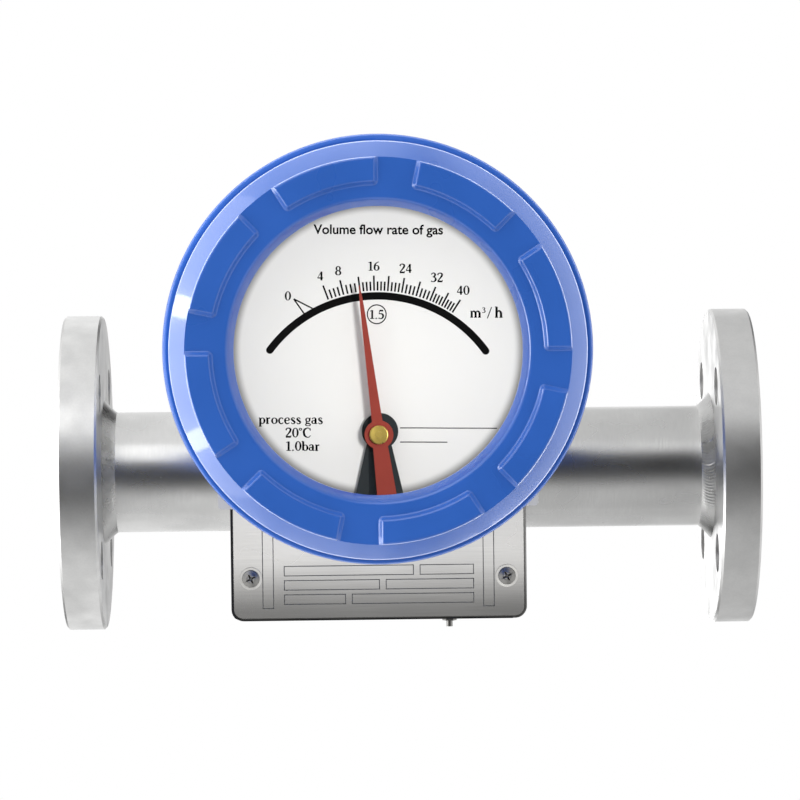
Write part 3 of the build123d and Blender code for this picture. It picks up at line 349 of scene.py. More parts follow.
def pad_lift(radius, off_middle, sizes, face_radius):
    """Height of the pads over the face, at a radius and an angle from the nearest pad's middle.

    The lift rises over the width of the slope from the pad's inner wall and its two ends, whose distances are
    joined round a corner. Along the outer edge a quarter circle takes it down again.
    """
    inner = radius - (face_radius - sizes.pad_depth)
    side = (sizes.pad_span / 2 - np.abs(off_middle)) * radius
    corner = sizes.pad_corner
    round_part = corner - np.hypot(np.clip(corner - inner, 0, None), np.clip(corner - side, 0, None))
    inside = np.where((inner < corner) & (side < corner), round_part, np.minimum(inner, side))
    foot_bend, top_bend = 0.2, 0.25
    wall = sizes.pad_height * soft_step(inside / sizes.pad_slope, foot_bend, top_bend)
    short = np.clip(sizes.pad_edge - (face_radius - radius), 0, sizes.pad_edge)
    outer = sizes.pad_height - sizes.pad_edge + np.sqrt(np.clip(sizes.pad_edge ** 2 - short ** 2, 0, None))
    return np.minimum(wall, outer)


def cover_outline(sizes, face, face_radius):
    """Section of the cover as (radius, level) points, from the skirt's end over the face to the glass seat.

    The face itself is left out: the outline comes as the part before it and the part after it.
    """
    top = face - sizes.bevel_depth
    lid = face - math.tan(sizes.chamfer_slope) * sizes.chamfer - sizes.side
    skirt_inner = sizes.skirt_radius - sizes.skirt_wall
    groove = SKIRT_END + sizes.groove_rise
    before = rounded([
        (skirt_inner, SKIRT_END),
        (sizes.skirt_radius, SKIRT_END),
        (sizes.skirt_radius, groove - sizes.groove_half),
        (sizes.skirt_radius - sizes.groove_depth, groove - sizes.groove_half),
        (sizes.skirt_radius - sizes.groove_depth, groove + sizes.groove_half),
        (sizes.skirt_radius, groove + sizes.groove_half),
        (sizes.skirt_radius, lid),
        (COVER_RADIUS, lid),
        (COVER_RADIUS, lid + sizes.side),
        (face_radius, face),
    ], {1: sizes.edge, 7: sizes.edge, 8: sizes.lip})
    after = rounded([
        (face_radius, face),
        (sizes.bevel_radius, face),
        (sizes.window_radius, top),
        (sizes.window_radius, GLASS_TOP),
        (GLASS_RADIUS, GLASS_TOP),
        (GLASS_RADIUS, lid),
        (skirt_inner, lid),
    ], {1: sizes.bevel_edge, 2: sizes.edge / 2})
    return before, after[1:]


class MESH_OT_meter_cover(bpy.types.Operator):
    """Make the cast cover with its rounded pads and its thread"""

    bl_idname = "mesh.meter_cover"
    bl_label = "Cover"

    def execute(self, context):
        sizes = context.scene.meter_cover
        face = PAD_TOP - sizes.pad_height
        face_radius = COVER_RADIUS - sizes.chamfer
        before, after = cover_outline(sizes, face, face_radius)
        fine, coarse = 0.13 * MM, 1.2 * MM
        edge, wall_foot = sizes.pad_edge, face_radius - sizes.pad_depth
        arc = np.linspace(math.pi / 2, 0, 9)
        wall_top, wall_end = wall_foot + 1.6 * sizes.pad_slope, wall_foot - 0.4 * sizes.pad_slope
        radii = np.concatenate([
            face_radius - edge * (1 - np.sin(arc)),
            between(face_radius - edge, wall_top, coarse)[1:],
            between(wall_top, wall_end, fine)[1:],
        ])
        angle, off_middle = pad_angles(sizes)
        lift = pad_lift(radii[:, None], off_middle[None, :], sizes, face_radius)
        inwards, outwards = (on_head(part[:, :1], angle[None, :], part[:, 1:]) for part in (after, before))
        casting = np.concatenate([outwards, on_head(radii[:, None], angle[None, :], face + lift), inwards])
        paint = powder_coat("gloss_powder", context.scene.meter_colours.paint, 1.0)
        piece("cover_casting", [(casting, True, True)], "cover", paint, ["front_cover"])
        piece("cover_thread", [thread(sizes.skirt_radius, sizes, 1)], "cover", paint)
        mouth = thread(sizes.skirt_radius + sizes.mouth_gap, sizes, -1)
        piece("mouth_thread", [mouth], "meter", paint)
        return {"FINISHED"}


def thread(radius, sizes, side):
    """A ridge wound as a helix on a cylinder, outwards for side 1 and inwards for side -1, faded out at both ends.

    The ridge's section is a trapezium whose height is scaled by the fade; it goes once round for each pitch.
    """
    pitch, height = sizes.thread_pitch, sizes.thread_height
    low = SKIRT_END + sizes.groove_rise + sizes.groove_half + pitch / 2
    high = RIM_LEVEL - pitch / 2
    turns, steps_each, fade_angle = (high - low) / pitch, 120, math.pi / 3
    angle = np.linspace(0, 2 * math.pi * turns, int(turns * steps_each))
    fade = np.clip(np.minimum(angle, angle[-1] - angle) / fade_angle, 0, 1)[:, None]
    section_lift = np.array([-0.25, 1.0, 1.0, -0.25]) * height
    section_rise = np.array([-0.36, -0.1, 0.1, 0.36]) * pitch
    lift = np.where(section_lift > 0, section_lift * fade, section_lift)
    rise = section_rise * (0.02 + 0.98 * fade)
    level = low + angle[:, None] * pitch / (2 * math.pi) + rise
    return capped(on_head(radius + side * lift, angle[:, None] + 0 * lift, level))


# Welds


def lobe_end(distance, edge, fade):
    """1 just past a bead's end and 0 before it: a steep rise over the edge, then a slow exponential fade."""
    past = np.clip(distance, 0, None)
    return (1 - np.exp(-((past / edge) ** 2))) * np.exp(-past / fade)


def weld_bead(seat, inward, sizes, ripple, lobes):
    """One fillet weld: a section carried round the tube, with crescent ripples on its outer face.

    The section falls from the flange to the tube as a power of the share, swelled by a half sine. A ripple's
    phase grows with the angle and lags towards both edges of the bead, which bends each crest into a crescent. The
    ripples wander a little as two sines of the angle, stand highest near the front as a bell curve, and ride on
    a slow unevenness. Lobes are the rounded ends of the welder's runs, at the given angles above straight ahead.
    """
    fall, base_wave, crest_bend, crest_power, under_tube = 1.7, 1.1, 5.2, 1.5, 0.2 * MM
    quiet, front, front_half, unevenness = 0.35, -0.25, 0.5, 0.12 * MM
    lobe_edge, lobe_fade = 0.35 * MM, 3.5 * MM
    share = np.linspace(0, 1, 21)
    swell = np.sin(math.pi * share)
    radius = TUBE_RADIUS + sizes.rise * (1 - share) ** fall + sizes.crown * swell
    along = seat + inward * sizes.leg * share
    middle_radius = TUBE_RADIUS + sizes.rise / 3
    count = round(2 * math.pi * middle_radius / sizes.ripple_pitch)
    angle = np.linspace(-math.pi, math.pi, count * 9, endpoint=False)[:, None]
    lag = (2 * share - base_wave) ** 2
    wander = 0.9 * np.sin(3 * angle + 0.7) + 0.6 * np.sin(7 * angle)
    wave = 0.5 - 0.5 * np.cos(count * angle + wander - crest_bend * lag)
    shown = quiet + (1 - quiet) * np.exp(-((angle - front) / front_half) ** 2)
    height = ripple * shown * wave ** crest_power * swell ** 0.5
    height = height + unevenness * np.sin(5 * angle + 1.1) * swell
    for place, tall in lobes:
        distance = (angle - math.radians(place)) * middle_radius - 1.1 * MM * (lag - 0.5)
        height = height + sizes.lobe * tall * lobe_end(distance, lobe_edge, lobe_fade) * swell ** 0.7
    ring = np.concatenate([radius + height, np.full((len(angle), 2), TUBE_RADIUS - under_tube)], axis=1)
    place = np.concatenate([along, [along[-1], along[0]]])
    return np.stack([place + 0 * ring, -ring * np.cos(angle), ring * np.sin(angle)], axis=-1)


class MESH_OT_meter_welds(bpy.types.Operator):
    """Make the rippled fillet welds between tube and flanges"""

    bl_idname = "mesh.meter_welds"
    bl_label = "Welds"

    def execute(self, context):
        sizes = context.scene.meter_weld
        finish = weld_metal(context.scene.meter_colours.weld)
        # End of the pipe, its way inwards, the ripples' height, and each lobe's angle in degrees and share of height
        runs = (("inlet", 1, sizes.fine_ripple, ((14, 0.35), (150, 1.0))),
                ("outlet", -1, sizes.ripple, ((24, 1.0), (4, 0.6), (-155, 1.0))))
        for side, inward, ripple, lobes in runs:
            low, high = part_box(side + "_weld")
            seat = low.x if inward > 0 else high.x
            bead = weld_bead(seat, inward, sizes, ripple, lobes)
            piece(side + "_weld_bead", [(bead, True, True)], "meter", finish, [side + "_weld"])
        return {"FINISHED"}


# Corner screws


def pan_head(place, outwards):
    """Pan-head screw with a cross recess, as one surface of revolution whose crown is dented by the recess.

    The crown is a shallow dome. The recess is a cross of two slots that narrow towards their ends, with sloping
    walls, cut to its depth by a soft step of the distance from the slot's edge.
    """
    radius, side, top, shank, reach = 3.1 * MM, 0.9 * MM, 2.1 * MM, 1.5 * MM, 9.0 * MM
    slot_half, slot_taper, slot_reach, slot_depth, slot_wall = 0.42 * MM, 0.12, 1.75 * MM, 1.1 * MM, 0.28 * MM
    slot_turn = math.radians(27)
    crown = rounded([(0, top), (1.5 * MM, 0.96 * top), (radius, side), (radius, 0)], {1: 1.4 * MM, 2: 0.5 * MM}, 8)
    inner = np.linspace(0, crown[1][0], 22)[:-1]
    height = top - (inner / crown[1][0]) ** 2 * (top - crown[1][1])
    outline = np.concatenate([np.stack([inner, height], 1), crown[1:], [[shank, 0], [shank, -reach], [0, -reach]]])
    angle = np.linspace(0, 2 * math.pi, 96, endpoint=False)[None, :]
    r, level = outline[:, :1], outline[:, 1:]
    spread = np.abs([np.sin(angle), np.cos(angle)]) * r
    across, along = spread.min(axis=0), spread.max(axis=0)
    inside = np.minimum(slot_half - slot_taper * along - across, slot_reach - along)
    recess = slot_depth * soft_step(inside / slot_wall, 0.15, 0.3) * (level > side)
    turned = angle + slot_turn
    return np.stack([place.x + r * np.cos(turned), place.y + outwards * (level - recess),
                     place.z + r * np.sin(turned)], axis=-1), False, True


def corner_centres(node, rows):
    """Centres of a part's solids, two to a row and lower rows first, from the boxes of their points."""
    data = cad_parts[node].data
    points = np.empty(3 * len(data.vertices), np.float32)
    data.vertices.foreach_get("co", points)
    points, centre = points.reshape(-1, 3), middle(node)
    right, upper = points[:, 0] > centre.x, (points[:, 2] > centre.z) & (rows > 1)
    for above in range(rows):
        for beside in range(2):
            corner = points[(right == beside) & (upper == above)]
            yield (corner.min(axis=0) + corner.max(axis=0)) / 2


class MESH_OT_meter_screws(bpy.types.Operator):
    """Make the cross-recessed corner screws of the box, front and back"""

    bl_idname = "mesh.meter_screws"
    bl_label = "Corner screws"

    def execute(self, context):
        finish = machined("cold_headed_steel", context.scene.meter_colours.bright, 0.4, 0.46)
        for side, outwards, rows in (("front", -1, 1), ("rear", 1, 2)):
            low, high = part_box(side + "_washers")
            seat = low.y if outwards < 0 else high.y
            node = side + "_screws"
            heads = [pan_head(Vector((x, seat, z)), outwards) for x, _, z in corner_centres(node, rows)]
            piece(node + "_stamped", heads, "meter", finish, [node], sharp=50)
        return {"FINISHED"}


class MESH_OT_meter_spring(bpy.types.Operator):
    """Copy the float's coil spring with its own finish, in place of the imported one"""

    bl_idname = "mesh.meter_spring"
    bl_label = "Float spring"

    def execute(self, context):
        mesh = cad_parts["float_spring"].data.copy()
        finish = bright_steel(context.scene.meter_colours.bright)
        coil = placed("float_coil", mesh, None, finish, ["float_spring"])
        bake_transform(coil)
        return {"FINISHED"}


# Print


def smooth_path(points, steps=7):
    """Catmull-Rom curve through rows of numbers, with steps points for each stretch."""
    points = np.array(points, float)
    if len(points) == 2:
        return points
    padded = np.vstack([2 * points[0] - points[1], points, 2 * points[-1] - points[-2]])
    share = np.linspace(0, 1, steps, endpoint=False)[:, None]
    spans = []
    for a, b, c, d in zip(padded, padded[1:], padded[2:], padded[3:]):
        spans.append(0.5 * (2 * b + (c - a) * share + (2 * a - 5 * b + 4 * c - d) * share ** 2
                            + (3 * b - a - 3 * c + d) * share ** 3))
    return np.vstack(spans + [points[-1:]])


def oval(x, y, wide, high, thin, thick):
    """A closed ring stroke, thin at top and bottom and thick at its sides, as (x, y, half width) rows."""
    turn = np.linspace(0, 2 * math.pi, 29)
    half = thin + (thick - thin) * np.cos(turn) ** 2
    return np.stack([x + wide * np.cos(turn), y + high * np.sin(turn), half], axis=-1)


def ink(path, base, film, to_world, closed=False):
    """A printed stroke: a path with half widths, carried to the face and given the thickness of the film."""
    path = np.array(path, float)
    spots, half = path[:, :2], path[:, 2:3]
    run = np.gradient(spots, axis=0)
    if closed:
        run[0] = run[-1] = spots[1] - spots[-2]
    run /= np.linalg.norm(run, axis=1, keepdims=True)
    off = np.stack([-run[:, 1], run[:, 0]], axis=-1) * half
    left, right = spots + off, spots - off
    section = np.stack([to_world(left, base), to_world(left, base + film), to_world(right, base + film),
                        to_world(right, base)], axis=1)
    return (section[:-1], True, True) if closed else capped(section)


# Half widths of a character's hair lines and stems, for a height of 1
THIN, THICK = 0.022, 0.055
# Faces of the print that meet at more than this many degrees have a sharp edge between them
PRINT_SHARP = 30
# How much wider and bolder the characters are set than their strokes are written
WIDE, BOLD = 1.36, 1.9


def stem(x, low, high):
    """An upright thick stroke."""
    return [(x, low, THICK), (x, high, THICK)]


def hair(x, y, end_x, end_y):
    """A straight thin stroke."""
    return [(x, y, THIN), (end_x, end_y, THIN)]


def serif(x, y, half=0.11):
    """A short level foot or cap, centred at a place."""
    return hair(x - half, y, x + half, y)


# Strokes of each character, for a height of 1: rows of x, y and half width. A list of rows is an open stroke drawn
# through its points, and an array is a closed ring
STROKES = {
    "0": [oval(0.26, 0.49, 0.18, 0.465, THIN, THICK)],
    "1": [stem(0.27, 0.03, 0.96), hair(0.25, 0.94, 0.09, 0.84), serif(0.27, 0.02, 0.17)],
    "2": [[(0.07, 0.74, 0.05), (0.12, 0.91, 0.03), (0.26, 0.96, 0.03), (0.40, 0.86, 0.05), (0.39, 0.66, 0.055),
           (0.26, 0.40, 0.04), (0.07, 0.09, 0.03)],
          [(0.05, 0.05, 0.05), (0.44, 0.05, 0.05)], hair(0.42, 0.06, 0.47, 0.2)],
    "3": [[(0.08, 0.80, 0.035), (0.17, 0.95, 0.025), (0.30, 0.95, 0.035), (0.38, 0.78, 0.055), (0.31, 0.60, 0.04),
           (0.18, 0.53, THIN)],
          [(0.20, 0.54, THIN), (0.35, 0.48, 0.035), (0.43, 0.28, 0.058), (0.34, 0.07, 0.04), (0.19, 0.02, 0.025),
           (0.06, 0.09, 0.045)]],
    "4": [stem(0.34, 0.0, 0.97), hair(0.33, 0.95, 0.03, 0.27), [(0.03, 0.27, 0.032), (0.48, 0.27, 0.032)]],
    "5": [[(0.13, 0.91, 0.05), (0.43, 0.91, 0.05)], hair(0.13, 0.93, 0.09, 0.52),
          [(0.09, 0.53, THIN), (0.22, 0.58, 0.03), (0.38, 0.48, 0.052), (0.42, 0.27, 0.058), (0.33, 0.06, 0.04),
           (0.18, 0.02, 0.025), (0.05, 0.08, 0.045)]],
    "6": [oval(0.26, 0.29, 0.165, 0.27, THIN, THICK),
          [(0.44, 0.95, THIN), (0.26, 0.84, 0.03), (0.13, 0.62, 0.05), (0.095, 0.32, THICK)]],
    "8": [oval(0.26, 0.72, 0.145, 0.23, THIN, 0.05), oval(0.26, 0.25, 0.18, 0.23, THIN, THICK)],
    ".": [oval(0.12, 0.045, 0.025, 0.025, 0.03, 0.03)],
    "/": [[(0.04, -0.08, 0.026), (0.34, 1.02, 0.026)]],
    "°": [oval(0.13, 0.84, 0.09, 0.1, THIN, 0.03)],
    "m": [stem(0.12, 0.02, 0.62), stem(0.4, 0.02, 0.5), stem(0.68, 0.02, 0.5),
          [(0.12, 0.47, THIN), (0.25, 0.62, 0.035), (0.4, 0.48, THICK)],
          [(0.4, 0.47, THIN), (0.53, 0.62, 0.035), (0.68, 0.48, THICK)],
          serif(0.12, 0.02), serif(0.4, 0.02), serif(0.68, 0.02), hair(0.02, 0.6, 0.12, 0.63)],
    "h": [stem(0.12, 0.02, 0.98), stem(0.42, 0.02, 0.48),
          [(0.12, 0.44, THIN), (0.27, 0.62, 0.035), (0.42, 0.46, THICK)],
          serif(0.12, 0.02), serif(0.42, 0.02), hair(0.01, 0.96, 0.12, 0.98)],
    "C": [[(0.58, 0.74, 0.03), (0.5, 0.92, 0.025), (0.34, 0.97, 0.03), (0.13, 0.78, THICK), (0.09, 0.48, 0.06),
           (0.16, 0.18, THICK), (0.35, 0.01, 0.03), (0.5, 0.05, 0.025), (0.6, 0.2, 0.02)],
          hair(0.575, 0.95, 0.585, 0.7)],
    "b": [stem(0.12, 0.03, 0.98), hair(0.01, 0.96, 0.12, 0.98), oval(0.28, 0.31, 0.165, 0.29, THIN, THICK)],
    "a": [[(0.08, 0.5, 0.045), (0.17, 0.62, THIN), (0.29, 0.6, 0.035), (0.34, 0.46, THICK), (0.34, 0.12, THICK),
           (0.4, 0.03, THIN), (0.47, 0.08, THIN)], oval(0.2, 0.19, 0.13, 0.16, THIN, 0.045)],
    "r": [stem(0.12, 0.02, 0.62), serif(0.13, 0.02), hair(0.01, 0.6, 0.12, 0.63),
          [(0.12, 0.42, THIN), (0.22, 0.58, 0.03), (0.33, 0.58, 0.045)]],
    "o": [oval(0.26, 0.31, 0.18, 0.29, THIN, THICK)],
    "p": [stem(0.12, -0.26, 0.6), serif(0.12, -0.27), hair(0.01, 0.59, 0.12, 0.62),
          oval(0.28, 0.31, 0.165, 0.29, THIN, THICK)],
    "c": [[(0.4, 0.5, 0.04), (0.3, 0.61, 0.025), (0.16, 0.55, 0.04), (0.09, 0.32, THICK), (0.15, 0.08, 0.04),
           (0.29, 0.01, 0.03), (0.42, 0.13, THIN)]],
    "e": [hair(0.1, 0.34, 0.4, 0.36),
          [(0.4, 0.36, THICK), (0.36, 0.56, 0.035), (0.24, 0.62, THIN), (0.12, 0.52, 0.04), (0.08, 0.3, THICK),
           (0.15, 0.07, 0.04), (0.28, 0.01, 0.03), (0.42, 0.12, THIN)]],
    "g": [oval(0.23, 0.42, 0.14, 0.19, THIN, 0.045), oval(0.24, -0.08, 0.18, 0.12, THIN, 0.035),
          [(0.15, 0.25, THIN), (0.1, 0.14, 0.03), (0.2, 0.06, 0.04), (0.34, 0.04, 0.04)],
          [(0.34, 0.56, THIN), (0.45, 0.61, 0.03)]],
    "s": [[(0.33, 0.48, THIN), (0.27, 0.61, 0.025), (0.15, 0.61, 0.03), (0.09, 0.48, 0.045), (0.2, 0.34, 0.055),
           (0.33, 0.18, 0.05), (0.27, 0.03, 0.03), (0.14, 0.01, 0.025), (0.06, 0.14, THIN)]],
}
# How far the next character stands from each one's start, for a height of 1
ADVANCE = {"1": 0.48, ".": 0.26, "/": 0.42, "°": 0.3, "m": 0.82, "h": 0.56, "C": 0.7, "b": 0.52, "a": 0.5,
           "r": 0.4, "g": 0.48, "s": 0.42, "o": 0.52, "p": 0.54, "c": 0.47, "e": 0.49, " ": 0.26}
DIGIT_ADVANCE = 0.52


def lettering(text, x, z, height, base, film, to_world, centred=True):
    """Strokes of a line of characters at a place on a face."""
    widths = [ADVANCE.get(character, DIGIT_ADVANCE) * WIDE * height for character in text]
    x -= sum(widths) / 2 if centred else 0.0
    z -= height / 2 if centred else 0.0
    made = []
    for character, width in zip(text, widths):
        for stroke in STROKES.get(character, []):
            ring = isinstance(stroke, np.ndarray)
            path = stroke.copy() if ring else smooth_path(stroke)
            path *= (WIDE * height, height, BOLD * height)
            path[:, :2] += (x, z)
            made.append(ink(path, base, film, to_world, ring))
        x += width
    return made


def on_dial(spots, level):
    """Places on the dial, from across and up measured at the scale's own centre, along the turned print."""
    sizes = bpy.context.scene.meter_print
    across = spots[:, 0] * math.cos(sizes.turn) - spots[:, 1] * math.sin(sizes.turn)
    up = spots[:, 0] * math.sin(sizes.turn) + spots[:, 1] * math.cos(sizes.turn)
    return np.stack([PIVOT.x + sizes.shift[0] + across, np.full(len(spots), -level),
                     PIVOT.z + sizes.shift[1] + up], axis=-1)


def ray(angle, start, end, half):
    """A straight stroke along a radius of the scale; the angle is to the right of straight up."""
    across, up = math.sin(angle), math.cos(angle)
    return [(start * across, start * up, half), (end * across, end * up, half)]


# Reading and angle of each long tick, in degrees to the right of straight up, and how far in millimetres its
# numeral's middle stands to the right of it
LONG_TICKS = ((4, -20.9, 0.0), (8, -14.3, 0.0), (12, -7.4, None), (16, -1.6, 0.0), (20, 4.0, None),
              (24, 9.8, 0.0), (28, 15.9, None), (32, 21.9, -0.5), (36, 27.2, None), (40, 32.3, -0.4))
# How far a numeral's middle stands out from its tick and up, over its height
NUMERAL_OUT, NUMERAL_UP = 0.8, 1.05
# Places on the dial are in millimetres, across and up from the scale's own centre. Characters of the notes: text,
# where its foot starts and its height over the numerals'; and text that is centred at its place
NOTES = (("m", 31.3, 38.3, 1.12), ("3", 35.3, 39.9, 0.6), ("/", 37.0, 38.3, 1.12), ("h", 39.7, 38.3, 1.2),
         ("process gas", -40.4, 1.9, 1.05), ("20°C", -31.4, -2.7, 1.05), ("1.0bar", -31.4, -7.25, 1.05))
CENTRED_NOTES = (("1.5", -0.45, 39.25, 0.98), ("0", -30.6, 45.4, 1.0))
# The class's circle as across, up, radius and half width; the angles where the zero marks stand on the arc, where
# they meet, and their half width; blank ruled lines as start, end and height, and their half width
CLASS_RING = (-0.42, 39.25, 3.2, 0.2)
ZERO_MARKS, ZERO_APEX, ZERO_HALF = (-32.5, -28.4), (-28.63, 44.36), 0.25
BLANK_LINES, BLANK_HALF = ((7.7, 40.7, 0.64), (7.7, 23.8, -4.17)), 0.17
# The title's words, size and middle, and how far its outlines are moved outwards, over its size
TITLE, TITLE_SIZE, TITLE_PLACE, TITLE_BOLD = "Volume flow rate of gas", 4.55, (0.1, 66.5), 0.022


def scale_marks(sizes, base):
    """Arc, ticks and numerals of the scale."""
    film = sizes.film
    sweep = np.linspace(-sizes.arc_half, sizes.arc_half, 97)
    cap = sizes.arc_width / 2
    bow = np.linspace(0, math.pi / 2, 9)[1:]
    beyond = cap * np.sin(bow) / sizes.arc_radius
    angle = np.concatenate([-sizes.arc_half - beyond[::-1], sweep, sizes.arc_half + beyond])
    half = np.concatenate([cap * np.cos(bow[::-1]), np.full(len(sweep), cap), cap * np.cos(bow)])
    arc = np.stack([sizes.arc_radius * np.sin(angle), sizes.arc_radius * np.cos(angle), half], axis=-1)
    marks = [ink(arc, base, film, on_dial)]
    start, half = sizes.tick_start, sizes.tick_width / 2
    for reading, turn, aside in LONG_TICKS:
        turn = math.radians(turn)
        end = start + sizes.tick_long
        marks.append(ink(ray(turn, start, end, half), base, film, on_dial))
        if aside is not None:
            across = (end + NUMERAL_OUT * sizes.figure) * math.sin(turn) + aside * MM
            up = end * math.cos(turn) + NUMERAL_UP * sizes.figure
            marks += lettering(str(reading), across, up, sizes.figure, base, film, on_dial)
    for (low, start_turn, _), (high, end_turn, _) in zip(LONG_TICKS, LONG_TICKS[1:]):
        for turn in np.radians(np.linspace(start_turn, end_turn, high - low + 1)[1:-1]):
            marks.append(ink(ray(turn, start, start + sizes.tick_short, half), base, film, on_dial))
    return marks


def scale_notes(sizes, base):
    """The unit, the class in its circle, the zero marks and the plain notes beside the pointer."""
    film, notes = sizes.film, []
    for rows, centred in ((NOTES, False), (CENTRED_NOTES, True)):
        for text, across, up, height in rows:
            notes += lettering(text, across * MM, up * MM, height * sizes.figure, base, film, on_dial, centred)
    across, up, radius, half = (size * MM for size in CLASS_RING)
    notes.append(ink(oval(across, up, radius, radius, half, half), base, film, on_dial, closed=True))
    reach = sizes.arc_radius + sizes.arc_width / 2
    apex = [size * MM for size in (*ZERO_APEX, ZERO_HALF)]
    for mark in np.radians(ZERO_MARKS):
        foot = [reach * math.sin(mark), reach * math.cos(mark), ZERO_HALF * MM]
        notes.append(ink([apex, foot], base, film, on_dial))
    for start, end, up in BLANK_LINES:
        line = np.array([(start, up, BLANK_HALF), (end, up, BLANK_HALF)]) * MM
        notes.append(ink(line, base, film, on_dial))
    return notes


def title_mesh(sizes, base):
    """The title in the plain built-in face as one flat extruded mesh, centred at its place on the dial."""
    curve = bpy.data.curves.new("title_line", "FONT")
    curve.body = TITLE
    curve.size = TITLE_SIZE * MM
    curve.align_x = "CENTER"
    curve.extrude = sizes.film / 2
    curve.offset = TITLE_BOLD * TITLE_SIZE * MM
    line = bpy.data.objects.new("title_line", curve)
    mesh = bpy.data.meshes.new_from_object(line)
    bpy.data.objects.remove(line)
    place = on_dial(np.array([TITLE_PLACE]) * MM, base + sizes.film / 2)[0]
    turn = Matrix.Rotation(-sizes.turn, 4, "Y") @ Matrix.Rotation(math.pi / 2, 4, "X")
    mesh.transform(Matrix.Translation(place) @ turn)
    return mesh


class MESH_OT_meter_print(bpy.types.Operator):
    """Print the dial: scale, numerals, unit, title and plain notes"""

    bl_idname = "mesh.meter_print"
    bl_label = "Dial print"

    def execute(self, context):
        sizes = context.scene.meter_print
        finish = printing_ink(context.scene.meter_colours.ink)
        for name, marks in (("dial_scale", scale_marks), ("dial_notes", scale_notes)):
            piece(name, marks(sizes, DIAL_FACE), "meter", finish, sharp=PRINT_SHARP)
        placed("dial_title", title_mesh(sizes, DIAL_FACE), "meter", finish)
        return {"FINISHED"}


# The pointer's angle at rest, to the right of straight up. Its blade: distances from the pivot and half widths
# there, in millimetres, and how far its skin stands off the lacquered sheet
POINTER_REST = math.radians(-6.84)
BLADE, BLADE_SKIN = ((4.0, 1.82), (36.0, 0.94), (44.0, 0.68), (48.3, 0.4), (51.2, 0.1)), 0.01


def on_pointer(spots, level):
    """Places on the pointer, from across and along measured at the pivot."""
    across = spots[:, 0] * math.cos(POINTER_REST) + spots[:, 1] * math.sin(POINTER_REST)
    up = spots[:, 1] * math.cos(POINTER_REST) - spots[:, 0] * math.sin(POINTER_REST)
    return np.stack([PIVOT.x + across, np.full(len(spots), -level), PIVOT.z + up], axis=-1)


class MESH_OT_meter_pointer(bpy.types.Operator):
    """Cover the pointer's blade with its lacquered sleeve, which tapers slowly and then runs to a point"""

    bl_idname = "mesh.meter_pointer"
    bl_label = "Pointer blade"

    def execute(self, context):
        low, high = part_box("pointer")
        skin = BLADE_SKIN * MM
        path = [(0.0, reach * MM, half * MM) for reach, half in BLADE]
        blade = ink(path, -high.y - skin, high.y - low.y + 2 * skin, on_pointer)
        finish = pointer_lacquer(context.scene.meter_colours.pointer)
        piece("pointer_blade", [blade], "pointer_movement", finish, sharp=PRINT_SHARP)
        return {"FINISHED"}


def on_plate(spots, level):
    """Places on the front plate, in the frame's own X and Z."""
    return np.stack([spots[:, 0], np.full(len(spots), -level), spots[:, 1]], axis=-1)


# Places on the plate are in millimetres. Empty fields: how far they stay off the plate's sides, half the gap
# between two in a row, the lowest row's height over the plate's edge, the rows' spacing, and the share of the
# width where each row is split
FIELD_MARGIN, FIELD_GAP_HALF, FIELD_FOOT, FIELD_PITCH, FIELD_SPLITS = 19, 1.2, 7.6, 5.1, (0.34, 0.52, 0.70)
# Two tall narrow fields beside them: how far off the left and the right side, half their width, and their ends
# over the plate's edge
TALL_LEFT, TALL_RIGHT, TALL_HALF, TALL_ENDS = 13.2, 13.6, 1.9, (4.5, 34)
# Painted shade along the plate's left and lower edges, a dark strip round the lower left corner: its corner's
# radius, half its width on the side and below, how far it stays off both, how far up it goes and how far short of
# the right side it ends, and its depth behind the face
EDGING_ROUND, EDGING_HALVES, EDGING_OFF, EDGING_RISE, EDGING_SHORT = 4.0, (0.42, 0.18), (0.42, 0.2), 60, 5
EDGING_DEPTH, EDGING_PROUD = 0.95, 0.02


def field(left, right, level, height, half):
    """Closed outline of a ruled field as four strokes, two level ones between two upright ones."""
    low, high = level - height / 2, level + height / 2
    levels = [[(left, up, half), (right, up, half)] for up in (low, high)]
    return levels + [[(across, low - half, half), (across, high + half, half)] for across in (left, right)]


